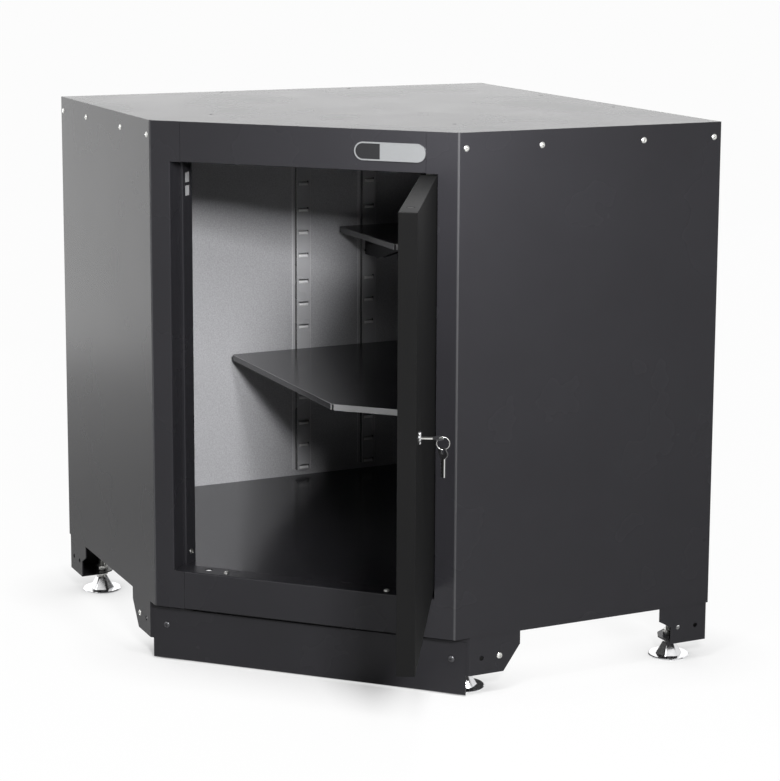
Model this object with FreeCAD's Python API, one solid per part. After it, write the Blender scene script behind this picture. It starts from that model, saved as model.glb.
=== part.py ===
import FreeCAD, Part
import math
import os

from FreeCAD import Vector

os.makedirs("parts", exist_ok=True)

# Corner cabinet in folded sheet steel. Millimetres, +Z up, +X to the right seen from the front, +Y back.
# Pieces are drawn with the front face in the plane y = 0 and the floor at z = 0, and moved to the part's
# own origin when they are written: the floor point under the middle of the box round the cabinet with its
# door open.

# Carcass
wall_length = 850.0
side_depth = 478.0
total_height = 910.0
leg_height = 99.0
sheet = 1.2
bend = 1.0
fit_gap = 0.3

# Door frame
stile_width = 36.0
stile_tab = 18.0
seam_gap = 0.5
header_height = 65.5
sill_height = 64.0
jamb_lip = 15.0
post_depth = 37.0
post_stand_out = 5.0
post_flange = 20.0
post_hole_width = 18.0
post_hole_height = 17.0
post_hole_drops = (31.0, 53.0)

# Top, floor and back
top_flange = 40.0
floor_flange = 30.0
back_flange = 22.0
corner_relief = 3.4
worktop_hole_radius = 3.3
worktop_front_spread = 212.0
worktop_front_inset = 130.0
worktop_wall_inset = 29.0
worktop_wall_runs = (296.0, 554.0)

# Shelf standards and shelves, placed by their distance from the rear corner
standard_runs = (383.0, 246.0)
standard_width = 38.0
standard_web = 25.0
standard_depth = 12.0
standard_start = 174.0
standard_top_gap = 72.0
slot_width = 19.6
slot_height = 4.6
slot_first = 8.5
slot_pitch = 43.7
slot_group_pitch = 137.9
slots_per_group = 3
shelf_sheet = 1.2
shelf_lip = 11.0
shelf_wall_gap = 14.5
middle_shelf_slot = 5
middle_shelf_runs = (530.0, 673.0)
middle_shelf_side = 482.0
upper_shelf_slot = 10
upper_shelf_runs = (310.0, 453.0)
upper_shelf_side = 263.0
arm_width = 17.0
arm_sheet = 2.0
arm_root = 56.0
arm_tip = 14.0
arm_rise = 4.6
middle_arm_lengths = (320.0, 205.0)
upper_arm_lengths = (150.0, 200.0)
hook_drop = 6.0
hook_play = 0.4

# Base
plinth_setback = 19.5
plinth_overhang = 12.5
plinth_top_gap = 8.0
plinth_floor_gap = 3.0
plinth_return = 12.0
bracket_sheet = 2.0
bracket_lap = 22.0
bracket_drop = 64.0
bracket_front_end = 119.0
bracket_front_leg = 52.0
bracket_back_leg = 92.0
bracket_straight = 22.0
bracket_chamfer_run = 30.0
bracket_step_run = 24.0
bracket_step_drop = 35.0
bracket_hole_radius = 4.0
bracket_hole_drop = 37.0
bracket_front_holes = (49.0, 82.5)
bracket_back_holes = (24.0, 57.5)
front_foot_run = 44.0
front_foot_inset = 53.0
back_foot_run = 46.0
stud_radius = 6.0
stud_play = 0.08
stud_top = 82.0
foot_radius = 34.5
foot_rim = 3.0
foot_hub_radius = 23.0
foot_height = 24.0
foot_neck_radius = 10.5

# Door
door_recess = 10.5
door_thickness = 27.0
door_stop_gap = 0.5
door_top_gap = 3.0
door_bottom_gap = 16.0
door_free_gap = 2.0
door_open_angle = 105.0
hinge_from_edge = 16.0
hinge_tail = 10.0
hinge_from_face = 10.0
hinge_pin_radius = 3.0
hinge_play = 0.08
hinge_pin_depth = 20.0
hinge_collar_radius = 6.5
bush_radius = 6.0
bush_collar_radius = 8.0
bush_collar = 1.2
bush_depth = 14.0

# Lock, rods and keys
lock_from_free_edge = 50.0
lock_height = 514.0
lock_flange_radius = 10.0
lock_flange = 3.2
lock_flange_chamfer = 1.6
lock_barrel_radius = 8.0
lock_barrel = 9.0
lock_hole_play = 0.15
lock_nut_radius = 12.0
lock_nut = 4.0
plug_radius = 5.0
plug_play = 0.06
crank_half_width = 5.0
crank_sheet = 2.0
thread_play = 0.05
crank_pin_radius = 2.5
rod_travel = 24.0
rod_radius = 5.0
rod_start = 25.0
rod_from_face = 13.5
rod_plate = 2.5
rod_plate_gap = 0.5
rod_slot_play = 0.8
rod_hole_play = 1.2
guide_from_lock = 150.0
guide_length = 12.0
guide_wall = 2.5
key_sheet = 2.0
key_blade_width = 7.0
key_blade_out = 16.0
key_blade_in = 7.0
key_bow_length = 16.0
key_bow_width = 22.0
key_bow_corner = 6.4
key_hole_radius = 4.0
key_bridge = 2.0
spare_blade = 27.0
spare_cut_width = 2.2
spare_cut_pitch = 5.0
spare_cut_depths = (1.6, 2.4, 1.2, 2.0)
ring_radius = 9.2
ring_wire = 0.55
ring_play = 0.5
spare_turn = 40.0

# Badge
badge_length = 118.0
badge_height = 29.0
badge_thickness = 3.0
badge_rim = 2.2
badge_recess = 0.8
badge_middle = 150.0
badge_drop = 34.0

# Worked out from the sizes above
half = math.sqrt(0.5)
up = Vector(0, 0, 1)
front_width = (wall_length - side_depth) / half
panel_bottom = leg_height
corner_b = Vector(-front_width / 2, 0, 0)
corner_c = Vector(front_width / 2, 0, 0)
corner_d = Vector(wall_length * half, side_depth * half, 0)
corner_e = Vector(0, (side_depth + wall_length) * half, 0)
opening_half = front_width / 2 - stile_width
opening_top = total_height - header_height
opening_bottom = panel_bottom + sill_height
floor_top = opening_bottom - sheet
door_front = door_recess
door_back = door_front + door_thickness
jamb_depth = door_back + door_stop_gap
door_low = opening_bottom + door_bottom_gap
door_high = opening_top - door_top_gap
hinge = Vector(opening_half - hinge_from_edge, door_front + hinge_from_face, 0)
door_right = hinge.x + hinge_tail
door_left = -opening_half + door_free_gap
lock_x = door_left + lock_from_free_edge
rod_y = door_front + rod_from_face
crank_pin_run = rod_travel / (2 * half)
plinth_half_width = front_width / 2 + plinth_overhang
standard_length = total_height - standard_top_gap - standard_start
slot_group_length = slot_first + (slots_per_group - 1) * slot_pitch
slot_groups = 1 + int((standard_length - slot_group_length) / slot_group_pitch)
slot_heights = [
    standard_start + slot_first + group * slot_group_pitch + step * slot_pitch
    for group in range(slot_groups)
    for step in range(slots_per_group)
]


def turned(shape, degrees, about=Vector(0, 0, 0), axis=up):
    """A copy turned about a line."""
    copy = shape.copy()
    copy.rotate(about, axis, degrees)
    return copy


def moved(shape, step):
    """A copy moved by a step."""
    copy = shape.copy()
    copy.translate(step)
    return copy


def mirrored(shape):
    """The same piece for the other side of the cabinet."""
    return shape.mirror(Vector(0, 0, 0), Vector(1, 0, 0))


def opened(shape):
    """A door piece drawn shut, swung to the open pose."""
    return turned(shape, door_open_angle, hinge)


door_corner = turned(Part.Vertex(Vector(door_left, door_back, 0)), door_open_angle, hinge).Point
origin = Vector(0, (corner_e.y + door_corner.y) / 2, 0)


def write(name, *shapes):
    """Moves a node's solids to the part's origin and writes them as one STEP file."""
    solids = [moved(solid, origin * -1) for shape in shapes for solid in shape.Solids]
    node = solids[0] if len(solids) == 1 else Part.makeCompound(solids)
    node.exportStep("parts/" + name + ".step")
    print(name, len(solids), "solids", round(node.Volume / 1000, 2), "cm3", node.isValid())


def flat_face(corners):
    """The flat face inside a ring of corners."""
    return Part.Face(Part.makePolygon(corners + corners[:1]))


def prism(points, low, high):
    """A plan outline raised from one height to another."""
    corners = [Vector(p.x, p.y, low) for p in points]
    return flat_face(corners).extrude(Vector(0, 0, high - low))


def box(x0, x1, y0, y1, z0, z1):
    """A block between two corners."""
    return Part.makeBox(x1 - x0, y1 - y0, z1 - z0, Vector(x0, y0, z0))


def rod(centre, radius, length, axis=up):
    """A round bar from a point along an axis."""
    return Part.makeCylinder(radius, length, centre, axis)


def hexagon(place, corner_radius, axis=up):
    """The six corners of a hexagon round a point, square to an axis that is square to X."""
    arm = Vector(corner_radius, 0, 0)
    return [place + FreeCAD.Rotation(axis, 60 * i).multVec(arm) for i in range(6)]


def hex_bar(place, corner_radius, length, axis=up):
    """A hexagon bar from a point along an axis."""
    return flat_face(hexagon(place, corner_radius, axis)).extrude(axis * length)


def tapered(low, high):
    """The solid with flat sides between two rings of corners."""
    sides = [flat_face([low[i - 1], low[i], high[i], high[i - 1]]) for i in range(len(low))]
    return Part.Solid(Part.Shell(sides + [flat_face(low), flat_face(high)]))


def left_of(run):
    """The unit normal to the left of a plan direction."""
    return Vector(-run.y, run.x, 0).normalize()


def corner_step(before, after, before_distance, after_distance):
    """The step that moves a corner so that the sides before and after it move by their own distances."""
    lean = before.dot(after)
    step = before * (before_distance - after_distance * lean)
    step += after * (after_distance - before_distance * lean)
    return step * (1 / (1 - lean * lean))


def shifted(points, distance):
    """An open run moved to its left, its corners mitred."""
    runs = [left_of(b - a) for a, b in zip(points, points[1:])]
    corners = [p + corner_step(a, b, distance, distance) for p, a, b in zip(points[1:], runs, runs[1:])]
    return [points[0] + runs[0] * distance] + corners + [points[-1] + runs[-1] * distance]


def inset(points, distances):
    """A closed outline, drawn anticlockwise, with every side drawn in by its own distance."""
    runs = [left_of(b - a) for a, b in zip(points, points[1:] + points[:1])]
    return [
        p + corner_step(runs[i - 1], runs[i], distances[i - 1], distances[i])
        for i, p in enumerate(points)
    ]


def rounded_run(points, radii):
    """The edges of an open run of straight lines joined by tangent arcs."""
    edges = []
    start = points[0]
    for before, corner, after, radius in zip(points, points[1:], points[2:], radii):
        into = (corner - before).normalize()
        out = (after - corner).normalize()
        turn = into.getAngle(out) / 2
        first = corner - into * (radius * math.tan(turn))
        last = corner + out * (radius * math.tan(turn))
        middle = corner + (out - into).normalize() * (radius / math.cos(turn) - radius)
        edges.append(Part.LineSegment(start, first).toShape())
        edges.append(Part.Arc(first, middle, last).toShape())
        start = last
    edges.append(Part.LineSegment(start, points[-1]).toShape())
    return edges


def folded(points, low, high, metal=sheet):
    """A strip folded along a plan run: the run is one face and the metal lies to its left."""
    turns = [(b - a).cross(c - b).z for a, b, c in zip(points, points[1:], points[2:])]
    face_radii = [bend + metal if turn > 0 else bend for turn in turns]
    back_radii = [bend if turn > 0 else bend + metal for turn in turns]
    back = shifted(points, metal)
    edges = rounded_run(points, face_radii) + rounded_run(back, back_radii)
    edges.append(Part.LineSegment(points[0], back[0]).toShape())
    edges.append(Part.LineSegment(points[-1], back[-1]).toShape())
    wire = Part.Wire(Part.__sortEdges__(edges))
    return moved(Part.Face(wire).extrude(Vector(0, 0, high - low)), Vector(0, 0, low))


def pressed(points, low, high, metal=sheet):
    """A small pressing along a plan run with sharp folds: the metal lies to the left of the run."""
    return prism(points + list(reversed(shifted(points, metal))), low, high)


def tray(points, top, depth, metal=sheet):
    """A flat top with a flange turned down along every edge, relieved at the corners."""
    inner = prism(inset(points, [metal] * len(points)), top - 2 * depth, top - metal)
    reliefs = [
        box(p.x - corner_relief, p.x + corner_relief, p.y - corner_relief, p.y + corner_relief,
            top - 2 * depth, top + depth)
        for p in points
    ]
    return prism(points, top - depth, top).cut([inner] + reliefs)


def on_side(shape):
    """Sets a piece drawn along X, with the inside at +Y, on the right side panel."""
    return moved(turned(shape, 45), corner_c)


def on_wall(shape):
    """Sets a piece drawn along X from the side panel to the rear corner on the right back wall."""
    return moved(turned(shape, 135), corner_d)


def upright(shape, x=0.0):
    """Stands a profile drawn in X and Y, and raised along Z, so that it runs along X with Y as height."""
    return moved(turned(turned(shape, 90, axis=Vector(1, 0, 0)), 90), Vector(x, 0, 0))


# Places shared by several pieces
side_inward = Vector(-half, half, 0)
side_along = Vector(half, half, 0)
post_face = opening_half - post_stand_out
strike = Vector(lock_x, rod_y, 0)
strike_radius = rod_radius + rod_hole_play
liner_flange = door_thickness - rod_from_face - strike_radius


def side_panel():
    """The right side panel: rear flange, side, stile, jamb and lip folded from one sheet."""
    jamb = [
        Vector(opening_half + jamb_lip, jamb_depth, 0),
        Vector(opening_half, jamb_depth, 0),
        Vector(opening_half, 0, 0),
    ]
    rest = [corner_c, corner_d, corner_d + Vector(-half, half, 0) * back_flange]
    tab = [Vector(opening_half - stile_tab, 0, 0)]
    panel = folded(jamb + rest, opening_bottom, opening_top)
    return panel.fuse([
        folded(tab + rest, panel_bottom, opening_bottom),
        folded(tab + rest, opening_top, total_height),
    ]).removeSplitter()


def rail(points, half_length):
    """A front rail: a profile given as (depth, height), run across the opening between the stile tabs."""
    profile = folded([Vector(y, z, 0) for y, z in points], -half_length, half_length)
    return upright(profile)


def header():
    """The rail over the door, with the upper hinge hole and the strike hole of the upper rod."""
    reach = opening_half - stile_tab - seam_gap
    points = [
        (jamb_depth, opening_top + jamb_lip),
        (jamb_depth, opening_top),
        (0, opening_top),
        (0, total_height),
    ]
    wing = box(reach, opening_half - seam_gap, sheet + fit_gap, jamb_depth - bend - sheet,
               opening_top, opening_top + sheet)
    body = rail(list(reversed(points)), reach).fuse([wing, mirrored(wing)]).removeSplitter()
    holes = [
        rod(hinge + up * (opening_top - 1), hinge_pin_radius + hinge_play, sheet + 2),
        rod(strike + up * (opening_top - 1), strike_radius, sheet + 2),
    ]
    return body.cut(holes)


def sill():
    """The rail under the door, with the lower hinge hole and the strike hole of the lower rod."""
    reach = opening_half - stile_tab - seam_gap
    points = [
        (plinth_setback - bend, panel_bottom),
        (0, panel_bottom),
        (0, opening_bottom),
        (jamb_depth, opening_bottom),
    ]
    wing = box(
        reach, opening_half - seam_gap, sheet + fit_gap, jamb_depth, opening_bottom - sheet, opening_bottom
    )
    body = rail(list(reversed(points)), reach).fuse([wing, mirrored(wing)]).removeSplitter()
    holes = [
        rod(hinge + up * (floor_top - 1), hinge_pin_radius + hinge_play, sheet + 2),
        rod(strike + up * (floor_top - 1), strike_radius, sheet + 2),
    ]
    return body.cut(holes)


def plan_inside(front_gap):
    """The plan inside the front, the side panels and the lapped back walls, from the front left corner."""
    corner_a = Vector(-corner_d.x, corner_d.y, 0)
    side_gap = sheet + fit_gap
    back_gap = 2 * sheet + fit_gap
    gaps = [front_gap, side_gap, back_gap, back_gap, side_gap]
    return inset([corner_b, corner_c, corner_d, corner_e, corner_a], gaps)


def top_panel():
    """The flush top: a shallow tray inside the side panels, with holes for fixing a worktop."""
    body = tray(plan_inside(sheet + fit_gap), total_height, top_flange)
    holes = []
    for side in (-1, 1):
        places = [Vector(side * worktop_front_spread, worktop_front_inset, 0)]
        for run in worktop_wall_runs:
            place = corner_e + Vector(half, -half, 0) * run + Vector(-half, -half, 0) * worktop_wall_inset
            places.append(Vector(side * place.x, place.y, 0))
        below = up * (total_height - 2 * sheet)
        holes += [rod(place + below, worktop_hole_radius, 4 * sheet) for place in places]
    return body.cut(holes)


def floor_panel():
    """The floor: a tray under the sill's return, drawn in from the walls and the posts' feet."""
    body = tray(plan_inside(sheet + bend + fit_gap), floor_top, floor_flange)
    holes = [
        rod(hinge + up * (floor_top - 2 * sheet), hinge_pin_radius + hinge_play, 4 * sheet),
        rod(strike + up * (floor_top - 2 * sheet), strike_radius, 4 * sheet),
    ]
    return body.cut(holes)


def back_panel(corner_gap, corner_return):
    """A back wall inside the side panel's rear flange: flat, or returned outside the other wall."""
    start = Vector(sheet + bend + fit_gap, sheet, 0)
    end = Vector(wall_length - corner_gap, sheet, 0)
    points = [start, end]
    if corner_return:
        points.append(end + Vector(0, corner_return, 0))
    return on_wall(folded(points, panel_bottom, total_height))


def jamb_post():
    """The channel behind the right jamb that the door closes on."""
    back = jamb_depth + post_depth
    points = [
        Vector(post_face + post_flange, back, 0),
        Vector(post_face, back, 0),
        Vector(post_face, jamb_depth, 0),
        Vector(opening_half + jamb_lip, jamb_depth, 0),
    ]
    post = folded(points, opening_bottom - sheet, opening_top + jamb_lip)
    middle = jamb_depth + post_depth / 2
    cuts = [
        box(
            post_face - 1,
            post_face + 2 * sheet,
            middle - post_hole_width / 2,
            middle + post_hole_width / 2,
            opening_top - drop - post_hole_height / 2,
            opening_top - drop + post_hole_height / 2,
        )
        for drop in post_hole_drops
    ]
    return post.cut(cuts)


def standard(run):
    """A slotted hat-section strip on the right back wall, a distance from the rear corner."""
    face = 2 * sheet
    foot = (standard_width - standard_web) / 2
    points = [
        Vector(0, face, 0),
        Vector(foot, face, 0),
        Vector(foot, face + standard_depth - sheet, 0),
        Vector(standard_width - foot, face + standard_depth - sheet, 0),
        Vector(standard_width - foot, face, 0),
        Vector(standard_width, face, 0),
    ]
    strip = pressed(points, standard_start, standard_start + standard_length)
    middle = standard_width / 2
    slots = [
        box(middle - slot_width / 2, middle + slot_width / 2, face + standard_depth - 2 * sheet,
            face + standard_depth + sheet, height - slot_height / 2, height + slot_height / 2)
        for height in slot_heights
    ]
    return on_wall(moved(strip.cut(slots), Vector(wall_length - run - middle, 0, 0)))


def shelf(slot, runs, side, arm_runs):
    """A corner shelf: two wall edges notched for the arms, two square ends and a front like the door's."""
    top = slot_heights[slot] + arm_rise + shelf_sheet
    left, right = runs
    reach = left + side
    left_along = Vector(-half, -half, 0)
    right_along = Vector(half, -half, 0)

    def plan(a, d):
        return corner_e + left_along * a + right_along * d

    gap = shelf_wall_gap
    outline = [
        plan(gap, gap),
        plan(left, gap),
        plan(left, side),
        plan(reach - right, right),
        plan(gap, right),
    ]
    notch_half = arm_width / 2 + hook_play
    notch = box(-notch_half, notch_half, 0, gap + 2 * shelf_sheet, top - 2 * shelf_lip, top - shelf_sheet)
    right_arms, left_arms = arm_runs
    notches = [on_wall(moved(notch, Vector(wall_length - run, 0, 0))) for run in right_arms]
    notches += [mirrored(on_wall(moved(notch, Vector(wall_length - run, 0, 0)))) for run in left_arms]
    return tray(outline, top, shelf_lip, shelf_sheet).cut(notches)


def shelf_arm(run, slot, length):
    """A tapered channel arm hooked into two slots of a right-hand standard."""
    face = 2 * sheet + standard_depth
    top = slot_heights[slot] + arm_rise
    low = top - arm_root
    across = [
        Vector(-arm_width / 2, low, 0),
        Vector(-arm_width / 2, top, 0),
        Vector(arm_width / 2, top, 0),
        Vector(arm_width / 2, low, 0),
    ]
    channel = pressed(list(reversed(across)), face, face + length, arm_sheet)
    channel = turned(channel, 90, axis=Vector(1, 0, 0))
    channel = channel.mirror(Vector(0, 0, 0), Vector(0, 1, 0))
    taper = flat_face([
        Vector(-arm_width, face + arm_root, low - 1),
        Vector(-arm_width, face + length + 1, low - 1),
        Vector(-arm_width, face + length + 1, top - arm_tip),
        Vector(-arm_width, face + arm_root, low),
    ]).extrude(Vector(2 * arm_width, 0, 0))
    channel = channel.cut(taper)
    plate_half = arm_width / 2 - arm_sheet
    plate = box(-plate_half, plate_half, face, face + arm_sheet, low, top - arm_sheet)
    pieces = [plate]
    for height in (slot_heights[slot], slot_heights[slot - 1]):
        inner = face - sheet - hook_play
        tongue = box(-arm_width / 2, arm_width / 2, inner - arm_sheet, face + arm_sheet,
                     height - arm_sheet / 2, height + arm_sheet / 2)
        hook = box(-arm_width / 2, arm_width / 2, inner - arm_sheet, inner,
                   height - arm_sheet / 2 - hook_drop, height + arm_sheet / 2)
        pieces += [tongue, hook]
    arm = channel.fuse(pieces).removeSplitter()
    return on_wall(moved(arm, Vector(wall_length - run, 0, 0)))


def plinth():
    """The kick plate: a folded strip with a return along the top, stopped clear of the foot brackets."""
    low = plinth_floor_gap
    high = panel_bottom - plinth_top_gap
    face = box(-plinth_half_width, plinth_half_width, plinth_setback, plinth_setback + sheet, low, high)
    reach = opening_half - stile_tab
    profile = [(plinth_setback + plinth_return, high), (plinth_setback, high), (plinth_setback, low)]
    strip = rail(profile, reach)
    ends = face.cut(box(-reach, reach, 0, 2 * plinth_setback, 0, panel_bottom))
    return strip.fuse(ends).removeSplitter()


def bracket_plate(foot_place, legs, cutters):
    """A foot bracket: folded upright legs, a bottom plate with the stud hole, and trimmed ends."""
    low = panel_bottom - bracket_drop
    uprights = folded(legs, low, panel_bottom + bracket_lap, bracket_sheet)
    inner = shifted(legs, bracket_sheet / 2)
    far = [foot_place + (foot_place - inner[1]).normalize() * foot_neck_radius * 2]
    plate = prism(inner + far, low, low + bracket_sheet)
    hole = rod(Vector(foot_place.x, foot_place.y, low - 1), stud_radius + stud_play, bracket_sheet + 2)
    return uprights.fuse(plate).removeSplitter().cut(cutters + [hole])


def front_foot_place():
    """The plan place of the right front foot."""
    return corner_c + side_along * front_foot_run + side_inward * front_foot_inset


def back_foot_place():
    """The plan place of the right back foot."""
    wall_along = Vector(-half, half, 0)
    return corner_d - side_along * back_foot_run + wall_along * back_foot_run


def rear_foot_place():
    """The plan place of the foot in the rear corner."""
    return corner_e - Vector(0, back_foot_run / half, 0)


def trim(points):
    """A cut through an upright leg on the side panel, given as (run, drop below the panel)."""
    outline = [Vector(run, 0, panel_bottom - drop) for run, drop in points]
    return moved(flat_face(outline).extrude(Vector(0, 2 * bracket_lap, 0)), Vector(0, -bracket_sheet, 0))


def link_hole(run):
    """A hole through an upright leg on the side panel."""
    return rod(Vector(run, -bracket_sheet, panel_bottom - bracket_hole_drop), bracket_hole_radius,
               2 * bracket_lap, Vector(0, 1, 0))


def front_bracket():
    """The right front foot bracket: a leg behind the plinth and a leg inside the side panel."""
    plinth_back = plinth_setback + sheet
    turn_run = (plinth_back - sheet * half) / half
    turn = corner_c + side_along * turn_run + side_inward * sheet
    turn.y = plinth_back
    legs = [
        Vector(turn.x - bracket_front_leg, plinth_back, 0),
        turn,
        corner_c + side_along * bracket_front_end + side_inward * sheet,
    ]
    below = bracket_drop + 1
    end = bracket_front_end
    chamfer = trim([(end + 1, bracket_straight), (end + 1, below), (end - bracket_chamfer_run, below),
                    (end - bracket_chamfer_run, bracket_drop), (end, bracket_straight)])
    cutters = [on_side(chamfer)] + [on_side(link_hole(run)) for run in bracket_front_holes]
    return bracket_plate(front_foot_place(), legs, cutters)


def leg_step(corner, direction):
    """The stepped lower corner of a leg that runs from a corner in a direction along X."""
    below = bracket_drop + 1
    tip = bracket_back_leg + 3 * sheet
    step_start = tip - bracket_step_run
    outline = [(tip + 1, bracket_straight), (tip, bracket_straight), (step_start, bracket_step_drop),
               (step_start, below), (tip + 1, below)]
    return trim([(corner + direction * run, drop) for run, drop in outline])


def back_bracket():
    """The right back foot bracket: a leg inside the side panel and a leg inside the back wall."""
    corner = corner_d - side_along * (2 * sheet) + side_inward * sheet
    legs = [
        corner - side_along * bracket_back_leg,
        corner,
        corner + side_inward * bracket_back_leg,
    ]
    cutters = [on_side(leg_step(side_depth, -1)), on_wall(leg_step(0, 1))]
    cutters += [on_side(link_hole(side_depth - run)) for run in bracket_back_holes]
    return bracket_plate(back_foot_place(), legs, cutters)


def rear_bracket():
    """The foot bracket in the rear corner, with a leg inside each back wall."""
    corner = corner_e - Vector(0, 2 * sheet / half, 0)
    legs = [
        corner + Vector(half, -half, 0) * bracket_back_leg,
        corner,
        corner + Vector(-half, -half, 0) * bracket_back_leg,
    ]
    step = on_wall(leg_step(wall_length, -1))
    return bracket_plate(rear_foot_place(), legs, [step, mirrored(step)])


def levelling_foot(place):
    """A levelling foot: a round disc, a tapered hexagon hub for a spanner and the stud into the bracket."""
    disc = rod(place, foot_radius, foot_rim)
    wide = hexagon(place + up * foot_rim, foot_hub_radius)
    narrow = hexagon(place + up * foot_height, foot_neck_radius)
    stud = rod(place + up * foot_height, stud_radius, stud_top - foot_height)
    return disc.fuse([tapered(wide, narrow), stud]).removeSplitter()


def door_outline(points_x, points_z):
    """A rectangle in X and Z, laid flat so that a tray can be raised on it."""
    x0, x1 = points_x
    z0, z1 = points_z
    return [Vector(x0, z0, 0), Vector(x1, z0, 0), Vector(x1, z1, 0), Vector(x0, z1, 0)]


def stand_up(shape):
    """Stands a flat piece up: its top faces the front and its Y becomes height."""
    return turned(shape, 90, axis=Vector(1, 0, 0))


def door_skin():
    """The outer tray of the door, with its lock hole, rod holes and hinge holes."""
    outline = door_outline((door_left, door_right), (door_low, door_high))
    skin = moved(stand_up(tray(outline, 0, door_thickness)), Vector(0, door_front, 0))
    holes = [
        rod(Vector(lock_x, door_front - 1, lock_height), lock_barrel_radius + lock_hole_play, 2 * sheet + 2,
            Vector(0, 1, 0)),
    ]
    for level in (door_low, door_high):
        holes.append(rod(Vector(lock_x, rod_y, level - 2 * sheet), strike_radius, 4 * sheet))
        holes.append(rod(hinge + up * (level - 2 * sheet), bush_radius + hinge_play, 4 * sheet))
    return skin.cut(holes)


def door_liner():
    """The inner tray of the door, set into the outer one with its flat face to the cabinet."""
    gap = sheet + fit_gap
    outline = door_outline((door_left + gap, door_right - gap), (door_low + gap, door_high - gap))
    flat = tray(outline, 0, liner_flange)
    liner = turned(stand_up(flat), 180, Vector((door_left + door_right) / 2, 0, 0))
    liner = moved(liner, Vector(0, door_back, 0))
    clear = [rod(hinge + up * (level - liner_flange * 2), bush_radius + fit_gap, liner_flange * 4)
             for level in (door_low, door_high)]
    return liner.cut(clear)


def hinge_bush(level, outward):
    """A flanged bush in the end of the door: collar outside, sleeve inside."""
    sleeve = rod(hinge + up * level, bush_radius, bush_depth, up * -outward)
    collar = rod(hinge + up * level, bush_collar_radius, bush_collar, up * outward)
    bore = rod(hinge + up * (level - bush_depth * 2), hinge_pin_radius + hinge_play, bush_depth * 4)
    return sleeve.fuse(collar).removeSplitter().cut(bore)


def hinge_pin(frame_level, door_level, outward):
    """A pin riveted in the frame and standing into the door; its hexagon collar takes up the gap."""
    start = frame_level + outward * sheet
    length = abs(start - door_level) + hinge_pin_depth / 2
    pin = rod(hinge + up * start, hinge_pin_radius, length, up * -outward)
    gap = abs(frame_level - door_level) - bush_collar - fit_gap
    collar = hex_bar(hinge + up * frame_level, hinge_collar_radius, gap, up * -outward)
    return pin.fuse(collar).removeSplitter()


def lock_point(depth):
    """A point on the lock's axis, a depth behind the door's face."""
    return Vector(lock_x, door_front + depth, lock_height)


inward = Vector(0, 1, 0)


def lock_barrel_body():
    """The lock's body: a chamfered flange on the door and a barrel through it."""
    flange = rod(lock_point(-lock_flange), lock_flange_radius, lock_flange, inward)
    face = door_front - lock_flange
    rim = [e for e in flange.Edges if abs(e.CenterOfMass.y - face) < fit_gap]
    flange = flange.makeChamfer(lock_flange_chamfer, rim[:1])
    barrel = rod(lock_point(0), lock_barrel_radius, lock_barrel, inward)
    bore = rod(lock_point(-2 * lock_flange), plug_radius + plug_play, lock_barrel + 3 * lock_flange, inward)
    return flange.fuse(barrel).removeSplitter().cut(bore)


def lock_nut_piece():
    """The hexagon nut that holds the lock from inside the door."""
    nut = hex_bar(lock_point(sheet), lock_nut_radius, lock_nut, inward)
    return nut.cut(rod(lock_point(0), lock_barrel_radius + thread_play, 2 * lock_nut, inward))


def lock_plug():
    """The plug that the key turns, with its keyway."""
    plug = rod(lock_point(-lock_flange), plug_radius, lock_flange + lock_barrel + crank_sheet / 2, inward)
    way = box(lock_x - key_blade_width / 2 - fit_gap, lock_x + key_blade_width / 2 + fit_gap,
              door_front - 2 * lock_flange, door_front - lock_flange + key_blade_in + fit_gap,
              lock_height - key_sheet / 2 - lock_hole_play, lock_height + key_sheet / 2 + lock_hole_play)
    return plug.cut(way)


def crank_pin_place(side):
    """A crank pin's place in X and Z at rest: the crank stands 45 degrees short of level."""
    return lock_x + side * crank_pin_run * half, lock_height - side * crank_pin_run * half


def lock_crank():
    """The bar on the plug's end, with a pin for each rod."""
    face = door_front + lock_barrel + crank_sheet / 2
    reach = crank_pin_run + crank_half_width
    bar = box(-reach, reach, face, face + crank_sheet, -crank_half_width, crank_half_width)
    bar = moved(turned(bar, 45, axis=inward), Vector(lock_x, 0, lock_height))
    pins = []
    for side in (-1, 1):
        x, z = crank_pin_place(side)
        foot = Vector(x, face + crank_sheet, z)
        pins.append(rod(foot, crank_pin_radius, rod_plate + 2 * rod_plate_gap, inward))
    return bar.fuse(pins).removeSplitter()


def lock_rod(side):
    """A locking rod: a round bar to the door's end and a slotted plate on a crank pin; side 1 is upper."""
    tip = door_high - fit_gap if side > 0 else door_low + fit_gap
    start = lock_height + side * rod_start
    bar = rod(Vector(lock_x, rod_y, start), rod_radius, abs(tip - start), up * side)
    plate_front = door_front + lock_barrel + 1.5 * crank_sheet + rod_plate_gap
    plate_back = plate_front + rod_plate
    pin_x, pin_z = crank_pin_place(side)
    swing = crank_pin_run * (1 - half)
    low_x = pin_x - side * (2 * crank_pin_radius)
    high_x = pin_x + side * (swing + 2 * crank_pin_radius)
    end_z = pin_z - side * 2 * crank_pin_radius
    link = box(min(low_x, high_x), max(low_x, high_x), plate_front, plate_back,
               min(end_z, start + side * rod_radius), max(end_z, start + side * rod_radius))
    tie = box(min(lock_x, high_x), max(lock_x, high_x), plate_front, plate_back,
              min(start, start + side * 2 * rod_radius), max(start, start + side * 2 * rod_radius))
    slot_low = pin_x - side * (crank_pin_radius + rod_slot_play)
    slot_high = pin_x + side * (swing + crank_pin_radius + rod_slot_play)
    slot = box(min(slot_low, slot_high), max(slot_low, slot_high), plate_front - 1, plate_back + 1,
               pin_z - crank_pin_radius - rod_slot_play, pin_z + crank_pin_radius + rod_slot_play)
    return bar.fuse([link, tie]).removeSplitter().cut(slot)


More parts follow.
